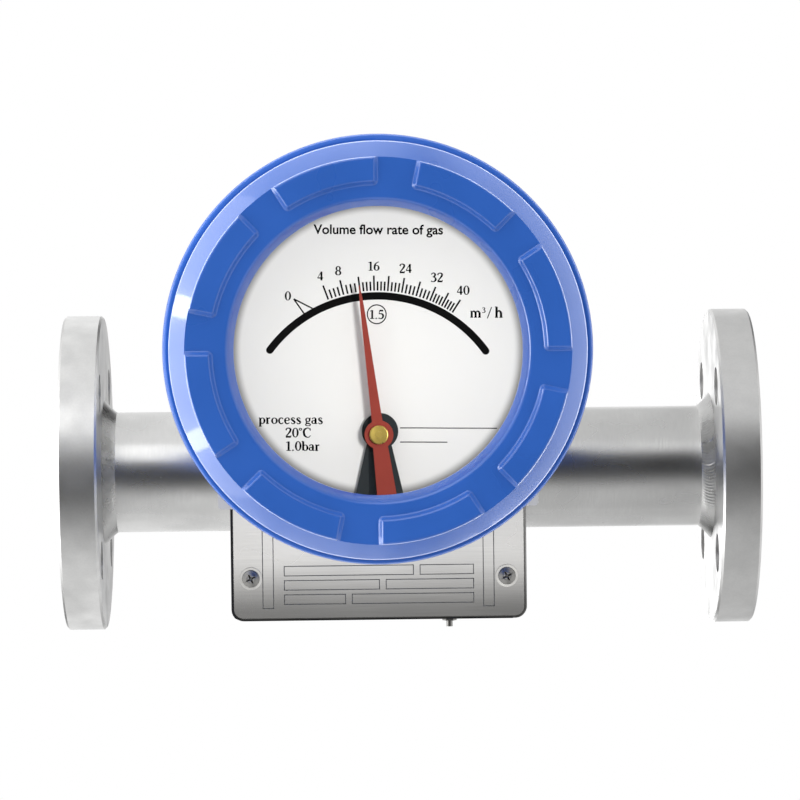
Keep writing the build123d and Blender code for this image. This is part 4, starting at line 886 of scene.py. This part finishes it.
class MESH_OT_meter_plate(bpy.types.Operator):
    """Engrave the empty ruled fields of the front plate, and lay a dark strip of painted shade along its left and
    lower edges
    """

    bl_idname = "mesh.meter_plate"
    bl_label = "Plate fields"

    def execute(self, context):
        sizes = context.scene.meter_plate
        base, half = -PLATE_LOW.y, sizes.line / 2
        left, right = PLATE_LOW.x + FIELD_MARGIN * MM, PLATE_HIGH.x - FIELD_MARGIN * MM
        strokes = []
        for row, split in enumerate(FIELD_SPLITS):
            level = PLATE_LOW.z + (FIELD_FOOT + FIELD_PITCH * row) * MM
            part, gap = left + split * (right - left), FIELD_GAP_HALF * MM
            for start, end in ((left, part - gap), (part + gap, right)):
                strokes += field(start, end, level, sizes.field_height, half)
        low, high = (PLATE_LOW.z + end * MM for end in TALL_ENDS)
        for across in (PLATE_LOW.x + TALL_LEFT * MM, PLATE_HIGH.x - TALL_RIGHT * MM):
            sides = (across - TALL_HALF * MM, across + TALL_HALF * MM)
            strokes += [[(side, low, half), (side, high, half)] for side in sides]
            strokes += [[(sides[0] - half, end, half), (sides[1] + half, end, half)] for end in (low, high)]
        marks = [ink(stroke, base, sizes.film, on_plate) for stroke in strokes]
        piece("plate_fields", marks, "meter", engraving_fill(), sharp=PRINT_SHARP)
        # Painted shade: a dark strip along the plate's left and lower edges, sunk into the plate so that only its face
        # shows
        left, low = PLATE_LOW.x + EDGING_OFF[0] * MM, PLATE_LOW.z + EDGING_OFF[1] * MM
        corners = [(left, PLATE_LOW.z + EDGING_RISE * MM), (left, low), (PLATE_HIGH.x - EDGING_SHORT * MM, low)]
        outline = rounded(corners, {1: EDGING_ROUND * MM})
        side_half, low_half = (size * MM for size in EDGING_HALVES)
        path = np.column_stack([outline, np.where(outline[:, 1] > low + 1 * MM, side_half, low_half)])
        edging = ink(path, base - EDGING_DEPTH * MM, (EDGING_DEPTH + EDGING_PROUD) * MM, on_plate)
        # The strip of painted shade takes the seals' black rubber finish
        finish = rubber(context.scene.meter_colours.rubber)
        piece("plate_painted_edge_shade", [edging], "meter", finish, sharp=PRINT_SHARP)
        return {"FINISHED"}


# Finishes


def add(tree, kind, inputs=(), **settings):
    """Add a shader node; settings are its properties, and inputs pairs a socket's name or number with what it gets.

    A socket gets a value, a link from another node's socket, or one from the first socket of another node.
    """
    made = tree.nodes.new("ShaderNode" + kind)
    for name, value in settings.items():
        setattr(made, name, value)
    for name, value in dict(inputs).items():
        if isinstance(value, bpy.types.Node):
            value = value.outputs[0]
        if isinstance(value, bpy.types.NodeSocket):
            tree.links.new(value, made.inputs[name])
        else:
            made.inputs[name].default_value = value
    return made


def finish_of(name, build):
    """A material by name; build gets its node tree and the object's own coordinates and returns the shader."""
    found = bpy.data.materials.get(name)
    if found:
        return found
    made = bpy.data.materials.new(name)
    made.use_nodes = True
    tree = made.node_tree
    tree.nodes.clear()
    place = add(tree, "TexCoord").outputs["Object"]
    add(tree, "OutputMaterial", {"Surface": build(tree, place)})
    return made


# A noise's values lie between these almost everywhere
NOISE_LOW, NOISE_HIGH = 0.3, 0.7


def grained(name, base, grain, depth, cloud, streak, shade, rough, sockets=(), relief=None, tone=None):
    """A finish whose colour and roughness follow slow clouds, with a fine grain in streaks and in relief.

    grain and cloud are the sizes in metres of their features along X, Y and Z, and depth is the grain's. streak
    and shade are the factors of the colour between the darkest and the lightest parts of the grain and of the
    clouds, and rough is the roughness there. relief gives another height than the grain's, and tone another factor
    of the colour, which is painted shade wherever it is given.
    """
    def build(tree, place):
        patterns = []
        for sizes in (grain, cloud):
            laid = add(tree, "Mapping", {"Vector": place, "Scale": [1 / size for size in sizes]})
            patterns.append(add(tree, "TexNoise", {"Vector": laid, "Scale": 1.0}))
        fine, slow = patterns
        streaks, shades, roughness = (
            add(tree, "MapRange", {"Value": value, "From Min": NOISE_LOW, "From Max": NOISE_HIGH,
                                   "To Min": low, "To Max": high})
            for value, (low, high) in ((fine, streak), (slow, shade), (slow, rough)))
        factor = add(tree, "Math", {0: streaks, 1: shades}, operation="MULTIPLY")
        if tone:
            factor = add(tree, "Math", {0: factor, 1: tone(tree, place)}, operation="MULTIPLY")
        tinted = add(tree, "VectorMath", {0: tuple(base[:3]), "Scale": factor}, operation="SCALE")
        height = relief(tree, place) if relief else fine
        normal = add(tree, "Bump", {"Height": height, "Distance": depth})
        return add(tree, "BsdfPrincipled", {"Base Color": tinted, "Roughness": roughness, "Normal": normal,
                                            **dict(sockets)})
    return finish_of(name, build)


def even(size):
    """The same size along X, Y and Z."""
    return (size * MM,) * 3


def powder_coat(name, base, gloss):
    """Polyester powder on cast aluminium: a smooth skin with a faint orange peel 3 mm wide.

    A gloss coat gives sharp pale reflections on edges over a deep colour, and without one they are dull. The
    powder's thickness makes it a little uneven.
    """
    return grained(name, base, even(3), 0.012 * MM, even(25), (1.0, 1.0), (0.95, 1.05), (0.26, 0.34),
                   {"IOR": 1.5, "Coat Weight": gloss, "Coat Roughness": 0.07, "Coat IOR": 1.6,
                    "Specular IOR Level": 0.3 + 0.2 * gloss})


def turned_lines(tree, place):
    """Noise in rings round the pipe's axis, from the place along it and the radius, wandering a little round it."""
    split = add(tree, "SeparateXYZ", {0: place})
    flat = add(tree, "CombineXYZ", {1: split.outputs[1], 2: split.outputs[2]})
    radius = add(tree, "VectorMath", {0: flat}, operation="LENGTH").outputs["Value"]
    heading = add(tree, "VectorMath", {0: flat}, operation="NORMALIZE")
    spot = add(tree, "CombineXYZ", {0: split.outputs[0], 1: radius})
    spread = add(tree, "VectorMath", {0: spot, "Scale": 1 / (0.35 * MM)}, operation="SCALE")
    laid = add(tree, "VectorMath", {0: spread, 1: heading}, operation="ADD")
    return add(tree, "TexNoise", {"Vector": laid, "Scale": 1.0})


def turned_steel(base):
    """Stainless steel turned on a lathe and pickled: tool lines 0.35 mm apart run round the pipe's axis.

    They spread highlights across the lines, and pickling leaves soft grey clouds a centimetre wide.
    """
    return grained("turned_stainless", base, even(0.8), 0.006 * MM, even(11), (0.98, 1.02), (1.0, 1.14), (0.4, 0.3),
                   {"Metallic": 1.0}, turned_lines)


def drawn_steel(base):
    """Drawn stainless tube, brushed round and pickled: a satin skin with fine grain and slow clouds."""
    return grained("drawn_stainless", base, (0.5 * MM, 4.5 * MM, 4.5 * MM), 0.006 * MM,
                   (25 * MM, 14 * MM, 14 * MM), (0.98, 1.02), (0.93, 1.03), (0.3, 0.22), {"Metallic": 1.0})


# Heights over the plate's lower edge in millimetres where its painted shade is darkest and where it ends, and the
# share of its colour that it keeps at the darkest
ETCH_ENDS, ETCH_SHARE = (1, 25), 0.28


def deeper_etch(tree, place):
    """Share of its colour that the front plate keeps: painted shade darkens it towards the lower edge as a smooth
    step.
    """
    height = add(tree, "SeparateXYZ", {0: place}).outputs[2]
    low, high = (PLATE_LOW.z + end * MM for end in ETCH_ENDS)
    return add(tree, "MapRange", {"Value": height, "From Min": low, "From Max": high, "To Min": ETCH_SHARE,
                                  "To Max": 1.0}, interpolation_type="SMOOTHSTEP")


def brushed_sheet(name, base, tone=None):
    """Cold-rolled stainless sheet brushed from side to side: hair lines 0.25 mm apart and 20 mm long."""
    return grained(name, base, (20 * MM, 0.25 * MM, 0.25 * MM), 0.004 * MM, (60 * MM, 30 * MM, 30 * MM),
                   (0.93, 1.05), (0.98, 1.02), (0.26, 0.3), {"Metallic": 1.0}, tone=tone)


def weld_metal(base):
    """Stainless weld, brushed clean: its colour and roughness follow slow clouds 6 mm wide, with fine scratches."""
    return grained("weld_metal", base, (1.6 * MM, 0.4 * MM, 0.4 * MM), 0.008 * MM, even(6), (0.98, 1.02),
                   (0.84, 1.1), (0.22, 0.36), {"Metallic": 1.0})


def machined(name, base, low, high):
    """A small machined part: satin metal with tool marks 0.6 mm apart."""
    return grained(name, base, even(0.6), 0.004 * MM, even(5), (0.98, 1.02), (0.92, 1.05), (low, high),
                   {"Metallic": 1.0})


def bright_steel(base):
    """Stamped stainless screws and washers, tumbled bright."""
    return machined("tumbled_steel", base, 0.24, 0.34)


def lacquer(name, base, low, high, sheen=0.5, ior=1.45):
    """Sprayed lacquer on thin sheet: even colour with a very fine grain of spray."""
    return grained(name, base, even(0.5), 0.004 * MM, even(12), (0.99, 1.01), (0.97, 1.03), (low, high),
                   {"IOR": ior, "Specular IOR Level": sheen})


def pointer_lacquer(base):
    """Red lacquer of the pointer, nearly matt so that it doesn't glare under the glass."""
    return lacquer("red_lacquer", base, 0.42, 0.5, 0.2)


def printing_ink(base):
    """Black screen-printing ink: dead matt, with a faint weave from the screen."""
    return lacquer("printing_ink", base, 0.6, 0.7, 0.05)


def engraving_fill():
    """Grey fill in an etched line."""
    return lacquer("engraving_fill", linear("5B5C5D"), 0.5, 0.6)


def rubber(base):
    """Moulded nitrile rubber: dull black with a fine bloom. The same finish colours the painted shade along the front
    plate's edges.
    """
    return lacquer("nitrile_rubber", base, 0.6, 0.75, 0.5, 1.5)


# Radii in millimetres where the dial's painted shade under the window's rim begins and ends, and the share of white at
# its end
BAND_RADII, BAND_SHARE = (46.0, 49.9), 0.25


def grey_band(tree, place):
    """Share of white that the dial keeps: painted shade under the window's rim, which falls as a smooth step of the
    radius from the head's axis.
    """
    start, end = (radius * MM for radius in BAND_RADII)
    away = add(tree, "VectorMath", {0: place, 1: (HEAD.x, 0.0, HEAD.z)}, operation="SUBTRACT")
    away = add(tree, "VectorMath", {0: away, 1: (1.0, 0.0, 1.0)}, operation="MULTIPLY")
    radius = add(tree, "VectorMath", {0: away}, operation="LENGTH").outputs["Value"]
    return add(tree, "MapRange", {"Value": radius, "From Min": start, "From Max": end, "To Min": 1.0,
                                  "To Max": BAND_SHARE}, interpolation_type="SMOOTHSTEP")


def dial_enamel(base):
    """White stove enamel on sheet, matt, with a soft painted shade round its edge where the cover's window rim shades
    it.
    """
    return grained("dial_enamel", base, even(0.5), 0.004 * MM, even(12), (1.0, 1.0), (1.0, 1.0), (0.42, 0.5),
                   {"IOR": 1.45, "Specular IOR Level": 0.2}, tone=grey_band)


def toughened_glass():
    """Flat float glass: clear, with a faint sheen; light that falls through it is not darkened.

    Shadow and bounce rays pass straight through, so that the dial behind is lit as through a thin pane.
    """
    def build(tree, place):
        smear = add(tree, "TexNoise", {"Vector": place, "Scale": 1 / (30 * MM)})
        smear = add(tree, "MapRange", {"Value": smear, "To Max": 0.015})
        pane = add(tree, "BsdfPrincipled", {"Base Color": linear("FBFDFD"), "Roughness": smear, "IOR": 1.5,
                                            "Transmission Weight": 1.0})
        clear = add(tree, "BsdfTransparent")
        path = add(tree, "LightPath").outputs
        share = add(tree, "Math", {0: path["Is Shadow Ray"], 1: path["Is Diffuse Ray"]}, operation="MAXIMUM")
        share = add(tree, "Math", {0: share, 1: path["Is Glossy Ray"]}, operation="MAXIMUM")
        return add(tree, "MixShader", {0: share, 1: pane, 2: clear})
    return finish_of("toughened_glass", build)


class MATERIAL_OT_meter_finishes(bpy.types.Operator):
    """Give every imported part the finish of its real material"""

    bl_idname = "material.meter_finishes"
    bl_label = "Finishes"

    def execute(self, context):
        colours = context.scene.meter_colours
        finishes = (
            (drawn_steel(colours.steel), "measuring_tube"),
            (weld_metal(colours.weld), "inlet_weld outlet_weld saddle_welds"),
            (brushed_sheet("brushed_sheet", colours.sheet), "box_shell rear_shell mounting_plate"),
            # The front plate's colour carries painted shade that darkens it towards its lower edge
            (brushed_sheet("etched_sheet", colours.etched, deeper_etch), "nameplate"),
            (powder_coat("satin_powder", colours.paint, 0.0), "head_housing"),
            (powder_coat("gloss_powder", colours.paint, 1.0), "front_cover"),
            (toughened_glass(), "window_glass"),
            (rubber(colours.rubber), "glass_seal cover_oring"),
            (machined("turned_aluminium", colours.aluminium, 0.3, 0.4), "glass_ring follower_arm dial_pillars"),
            # The dial's enamel carries painted shade round its edge, where the cover's window rim shades it
            (dial_enamel(colours.dial), "dial_plate"),
            (lacquer("black_lacquer", colours.bracket, 0.38, 0.46, 0.25), "pointer_bracket"),
            (pointer_lacquer(colours.pointer), "pointer"),
            (machined("turned_brass", colours.brass, 0.26, 0.36),
             "pointer_cap pointer_shaft front_bearing rear_bearing counterweight"),
            (machined("magnet_alloy", colours.magnet, 0.4, 0.5), "float_magnet follower_magnet"),
        )
        chosen = {name: finish for finish, names in finishes for name in names.split()}
        small = {"screws", "washers", "nuts", "plugs", "screw", "nut", "spring"}
        bright, turned = bright_steel(colours.bright), turned_steel(colours.steel)
        for name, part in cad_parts.items():
            plain = bright if name.split("_")[-1] in small else turned
            for material_slot in part.material_slots:
                material_slot.material = chosen.get(name, plain)
        return {"FINISHED"}


# Stage

# Share of the white that metal and glass see in front of the object and behind it, by elevation in degrees: a
# dark flag hangs there, and the rest of the studio is white
FLAG = ((-90, 0.8), (-62, 0.86), (-53, 0.8), (-45, 0.63), (-38, 0.36), (-31, 0.18), (-24, 0.09), (-4, 0.06),
        (3, 0.11), (10, 0.26), (16, 0.52), (23, 0.84), (31, 1.0), (90, 1.0))
# How far the flag's middle is lifted, and how far it rises to the right for each unit across, up to the slant's
# reach to either side
FLAG_LIFT, FLAG_SLANT, SLANT_REACH = math.radians(13.2), math.radians(68.0), 0.2
# Share of a level direction that points ahead or behind where the flag begins and where it is whole, and share
# that points aside where its gap straight behind ends
FLAG_SIDES, REAR_GAP = (0.45, 0.8), (0.2, 0.4)
# Share that a scrim leaves of it all, by the direction's X: it dims the studio a little to the right of straight
# ahead. It has an opening straight behind, given by the direction's Y
SCRIM = ((-1.0, 1.0), (-0.04, 1.0), (0.08, 0.66), (0.14, 0.37), (0.28, 0.34), (0.5, 0.8), (1.0, 0.8))
SCRIM_OPENING = (0.98, 0.85)
# Light on matt surfaces: its level from straight ahead, what the sides add to it, and how much more comes from
# the left than from the right
FRONT_LEVEL, SIDE_LEVEL, LEFT_SHARE = 0.2, 1.5, 0.18


def grey_stops(ramp, stops):
    """Set a colour ramp's stops from (place, grey) pairs whose places run from 0 to 1."""
    elements = ramp.color_ramp.elements
    for place, _ in stops[1:-1]:
        elements.new(place)
    for element, (_, grey) in zip(elements, stops):
        element.color = (grey, grey, grey, 1.0)


def flag_share(tree, split):
    """What the flag leaves of the white by the direction's tilt, and how far it covers the direction's heading.

    The flag covers the headings within about 45 degrees of straight ahead, and fades out to the sides. Behind the
    object it leaves a gap straight behind.
    """
    flat = add(tree, "CombineXYZ", {0: split.outputs[0], 1: split.outputs[1]})
    heading = add(tree, "VectorMath", {0: flat}, operation="NORMALIZE")
    across, along, _ = add(tree, "SeparateXYZ", {0: heading}).outputs
    slant = SLANT_REACH * FLAG_SLANT
    lift = add(tree, "MapRange", {"Value": across, "From Min": -SLANT_REACH, "From Max": SLANT_REACH,
                                  "To Min": slant - FLAG_LIFT, "To Max": -slant - FLAG_LIFT})
    tilt = add(tree, "Math", {0: split.outputs[2]}, operation="ARCSINE")
    tilt = add(tree, "Math", {0: tilt, 1: lift}, operation="ADD")
    share = add(tree, "MapRange", {"Value": tilt, "From Min": -math.pi / 2, "From Max": math.pi / 2})
    flag = add(tree, "ValToRGB", {0: share})
    grey_stops(flag, [((elevation + 90) / 180, bright) for elevation, bright in FLAG])
    ahead, behind = (add(tree, "MapRange", {"Value": along, "From Min": side * FLAG_SIDES[0],
                                            "From Max": side * FLAG_SIDES[1]}, interpolation_type="SMOOTHSTEP")
                     for side in (-1, 1))
    aside = add(tree, "Math", {0: across}, operation="ABSOLUTE")
    aside = add(tree, "MapRange", {"Value": aside, "From Min": REAR_GAP[0], "From Max": REAR_GAP[1]})
    behind = add(tree, "Math", {0: behind, 1: aside}, operation="MULTIPLY")
    return flag, add(tree, "Math", {0: ahead, 1: behind}, operation="ADD")


def scrim_share(tree, split):
    """What the scrim leaves of the white, and how far it covers the direction."""
    side = add(tree, "MapRange", {"Value": split.outputs[0], "From Min": -1.0})
    scrim = add(tree, "ValToRGB", {0: side})
    grey_stops(scrim, [((direction_x + 1) / 2, bright) for direction_x, bright in SCRIM])
    return scrim, add(tree, "MapRange", {"Value": split.outputs[1], "From Min": SCRIM_OPENING[0],
                                         "From Max": SCRIM_OPENING[1]})


def matt_level(tree, split):
    """Level of the light for matt surfaces.

    It grows with the fourth power of the sine of the angle from straight ahead, so most of it comes from the sides,
    the ceiling and the floor.
    """
    square = add(tree, "Math", {0: split.outputs[1], 1: split.outputs[1]}, operation="MULTIPLY")
    sine = add(tree, "Math", {0: 1.0, 1: square}, operation="SUBTRACT")
    sine = add(tree, "Math", {0: sine, 1: sine}, operation="MULTIPLY")
    tilted = add(tree, "Math", {0: split.outputs[0], 1: -LEFT_SHARE, 2: 1.0}, operation="MULTIPLY_ADD")
    sine = add(tree, "Math", {0: sine, 1: tilted}, operation="MULTIPLY")
    return add(tree, "Math", {0: sine, 1: SIDE_LEVEL, 2: FRONT_LEVEL}, operation="MULTIPLY_ADD")


def studio(scene):
    """The world: white for camera, glossy and transmission rays, and for glossy ones the flag and the scrim."""
    world = bpy.data.worlds.new("studio")
    scene.world = world
    world.use_nodes = True
    tree = world.node_tree
    tree.nodes.clear()
    split = add(tree, "SeparateXYZ", {0: add(tree, "TexCoord").outputs["Generated"]})
    path = add(tree, "LightPath").outputs
    white = linear("FFFFFF")
    flag, facing = flag_share(tree, split)
    hung = add(tree, "Math", {0: facing, 1: path["Is Glossy Ray"]}, operation="MULTIPLY")
    walls = add(tree, "Mix", {0: hung, 6: white, 7: flag}, data_type="RGBA").outputs[2]
    scrim, front = scrim_share(tree, split)
    front = add(tree, "Math", {0: front, 1: path["Is Glossy Ray"]}, operation="MULTIPLY")
    dim = add(tree, "Mix", {0: front, 2: 1.0, 3: scrim})
    walls = add(tree, "VectorMath", {0: walls, "Scale": dim}, operation="SCALE")
    seen = add(tree, "Math", {0: path["Is Camera Ray"], 1: path["Is Transmission Ray"]}, operation="MAXIMUM")
    seen = add(tree, "Math", {0: seen, 1: path["Is Glossy Ray"]}, operation="MAXIMUM")
    backdrop = add(tree, "Background", {"Color": walls, "Strength": 1.0})
    light = add(tree, "Background", {"Color": white, "Strength": matt_level(tree, split)})
    mixed = add(tree, "MixShader", {0: seen, 1: light, 2: backdrop})
    add(tree, "OutputWorld", {"Surface": mixed})


def soft_lamp(name, aim, away, size, tall, radiance, up=(0, 0, 1), glossy=True, matt=True, square=False,
              lit=(), blockers=(), spared=()):
    """A soft oval or square lamp of a given radiance, away from what it aims at and tall times as high as wide.

    Its height follows the up direction. Where pieces are named, it lights or is blocked by those alone, which
    takes sampling from the lamp alone, or it spares them.
    """
    light = bpy.data.lights.new(name, "AREA")
    light.shape = "RECTANGLE" if square else "ELLIPSE"
    light.size = size
    light.size_y = size * tall
    light.energy = radiance * math.pi * size ** 2 * tall * (1.0 if square else math.pi / 4)
    lamp = bpy.data.objects.new(name, light)
    bpy.context.scene.collection.objects.link(lamp)
    back = Vector(away).normalized()
    across = Vector(up).cross(back).normalized()
    turn = Matrix((across, back.cross(across), back)).transposed().to_4x4()
    lamp.matrix_world = Matrix.Translation(aim + Vector(away)) @ turn
    lamp.visible_camera = False
    light.cycles.use_multiple_importance_sampling = not blockers
    lamp.visible_glossy = glossy
    lamp.visible_diffuse = matt
    for purpose, names in (("receiver_collection", lit + spared), ("blocker_collection", blockers)):
        if names:
            group = bpy.data.collections.new(name + "_" + purpose)
            for linked in names:
                group.objects.link(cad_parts.get(linked) or bpy.data.objects[linked])
            for linked in group.collection_objects:
                linked.light_linking.link_state = "EXCLUDE" if spared else "INCLUDE"
            setattr(lamp.light_linking, purpose, group)


# Shares of its radius between which the floor fades out
FLOOR_FADE = (0.5, 0.98)


def floor_disc(sizes):
    """A pale round floor that fades out at its edge and keeps the object's shadow; from below it can't be seen."""
    def build(tree, place):
        away = add(tree, "VectorMath", {0: place}, operation="LENGTH").outputs["Value"]
        start, end = (share * sizes.floor_radius for share in FLOOR_FADE)
        fade = add(tree, "MapRange", {"Value": away, "From Min": start, "From Max": end},
                   interpolation_type="SMOOTHSTEP")
        under = add(tree, "NewGeometry").outputs["Backfacing"]
        fade = add(tree, "Math", {0: fade, 1: under}, operation="MAXIMUM")
        pale = add(tree, "BsdfDiffuse", {"Color": linear("E4E4E4")})
        clear = add(tree, "BsdfTransparent")
        return add(tree, "MixShader", {0: fade, 1: pale, 2: clear})
    radius = np.linspace(0, sizes.floor_radius, 13)[None, :]
    angle = np.linspace(0, 2 * math.pi, 97)[:, None]
    points = np.stack([radius * np.cos(angle), radius * np.sin(angle), 0 * radius * angle], axis=-1)
    mesh = bpy.data.meshes.new("floor")
    mesh.from_pydata(*woven([(points, False, False)]))
    mesh.materials.append(finish_of("floor_paint", build))
    made = bpy.data.objects.new("floor", mesh)
    made.location = ((CAD_LOW.x + CAD_HIGH.x) / 2, 0.0, -sizes.floor_drop)
    made.visible_glossy = False
    bpy.context.scene.collection.objects.link(made)


def camera(scene, sizes):
    """Camera that looks along +Y, turned by yaw, then pitch, then roll."""
    data = bpy.data.cameras.new("camera")
    data.lens = sizes.lens
    data.sensor_width = 36.0
    data.clip_end = 20.0
    turn = Matrix.Translation(sizes.camera_place)
    for angle, axis in ((-sizes.camera_yaw, "Z"), (math.pi / 2 + sizes.camera_pitch, "X"), (sizes.camera_roll, "Z")):
        turn @= Matrix.Rotation(angle, 4, axis)
    made = bpy.data.objects.new("camera", data)
    made.matrix_world = turn
    scene.collection.objects.link(made)
    scene.camera = made


class SCENE_OT_meter_stage(bpy.types.Operator):
    """Set the pale floor, the soft studio light and the camera"""

    bl_idname = "scene.meter_stage"
    bl_label = "Stage"

    def execute(self, context):
        sizes = context.scene.meter_stage
        studio(context.scene)
        floor_disc(sizes)
        camera(context.scene, sizes)
        plate_foot = Vector((HEAD.x, PLATE_LOW.y, PLATE_LOW.z))
        pointing = ("pointer", "pointer_blade", "pointer_cap", "pointer_shaft", "pointer_bracket")
        printed = ("dial_plate", "dial_scale", "dial_notes", "dial_title")
        behind_glass = {"lit": pointing + printed, "blockers": pointing}
        painted = {"lit": ("cover_casting", "head_housing")}
        edging = {"up": (0, 1, 0), "matt": False, "square": True, **painted}
        flat = ("nameplate", "front_screws_stamped", "front_washers")
        # Six lamps round the head brighten the cover's edges, the one below a little less
        edges = []
        for number, radiance in enumerate((5.0, 5.0, 5.0, 3.8, 5.0, 5.0)):
            turn = math.radians(60 * number)
            away = (math.sin(turn), 0.42, math.cos(turn))
            edges.append(("edge_%d" % number, HEAD, away, 1.155, 0.46, radiance, edging))
        # Name, what it aims at, how far away it stands, width, height over width, radiance and what sets it apart
        lamps = [
            ("dial_key", PIVOT, (0.75, -1.6, 0.14), 0.4, 1.0, 56.0, behind_glass),
            ("high_softbox", HEAD, (-0.24, -1.15, 1.0), 1.0, 1.0, 0.5, {}),
            ("cover_fill", HEAD, (-0.3, -1.5, 0.3), 0.6, 1.0, 7.5, {"glossy": False, **painted}),
            ("left_upper", HEAD, (-1.1, 0.03, 0.235), 0.5, 0.26, 8.0, {"spared": flat}),
            ("left_lower", HEAD, (-1.1, 0.03, -0.56), 0.5, 0.28, 6.0, {"spared": flat}),
            ("left_panel", HEAD, (-1.2, 0.03, 0.0), 0.6, 5.0, 1.3, {"spared": flat}),
            *edges,
            ("left_front", HEAD, (-1.04, -0.34, -0.15), 0.46, 1.2, 6.0, {"matt": False, **painted}),
            ("right_back", middle("outlet_flange"), (-0.2, 1.1, -0.2), 0.5, 1.1, 1.25,
             {"matt": False, "lit": ("outlet_flange",)}),
            ("plate_panel", plate_foot, (0.0, -1.2, -0.09), 0.5, 0.7, 3.1,
             {"matt": False, "lit": flat + ("mounting_plate",)}),
        ]
        for *lamp, settings in lamps:
            soft_lamp(*lamp, **settings)
        context.scene.view_settings.view_transform = "Standard"
        return {"FINISHED"}


class VIEW3D_PT_meter(bpy.types.Panel):
    """Lists the sizes, colours and steps of the flow meter"""

    bl_label = "Flow Meter"
    bl_space_type = "VIEW_3D"
    bl_region_type = "UI"
    bl_category = "Flow Meter"

    def draw(self, context):
        for group, steps in STEPS.items():
            box = self.layout.box()
            for name in GROUPS[group].__annotations__:
                box.prop(getattr(context.scene, group), name)
            for step in steps:
                box.operator(step.bl_idname)


GROUPS = {"meter_colours": Colours, "meter_cover": CoverSizes, "meter_weld": WeldSizes,
          "meter_print": PrintSizes, "meter_plate": PlateSizes, "meter_stage": StageSizes}
STEPS = {
    "meter_colours": [MATERIAL_OT_meter_finishes],
    "meter_cover": [MESH_OT_meter_cover, MESH_OT_meter_screws],
    "meter_weld": [MESH_OT_meter_welds, MESH_OT_meter_spring],
    "meter_print": [MESH_OT_meter_print, MESH_OT_meter_pointer],
    "meter_plate": [MESH_OT_meter_plate],
    "meter_stage": [SCENE_OT_meter_stage],
}
CLASSES = (*GROUPS.values(), *sum(STEPS.values(), []), VIEW3D_PT_meter)


def register():
    """Register the classes and hang the sizes and colours on the scene."""
    for made in CLASSES:
        bpy.utils.register_class(made)
    for name, group in GROUPS.items():
        setattr(bpy.types.Scene, name, PointerProperty(type=group))


def unregister():
    """Undo register."""
    for name in GROUPS:
        delattr(bpy.types.Scene, name)
    for made in CLASSES:
        bpy.utils.unregister_class(made)


def main():
    """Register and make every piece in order."""
    register()
    bpy.ops.material.meter_finishes()
    bpy.ops.mesh.meter_cover()
    bpy.ops.mesh.meter_screws()
    bpy.ops.mesh.meter_welds()
    bpy.ops.mesh.meter_spring()
    bpy.ops.mesh.meter_print()
    bpy.ops.mesh.meter_pointer()
    bpy.ops.mesh.meter_plate()
    bpy.ops.scene.meter_stage()


if __name__ == "__main__":
    main()
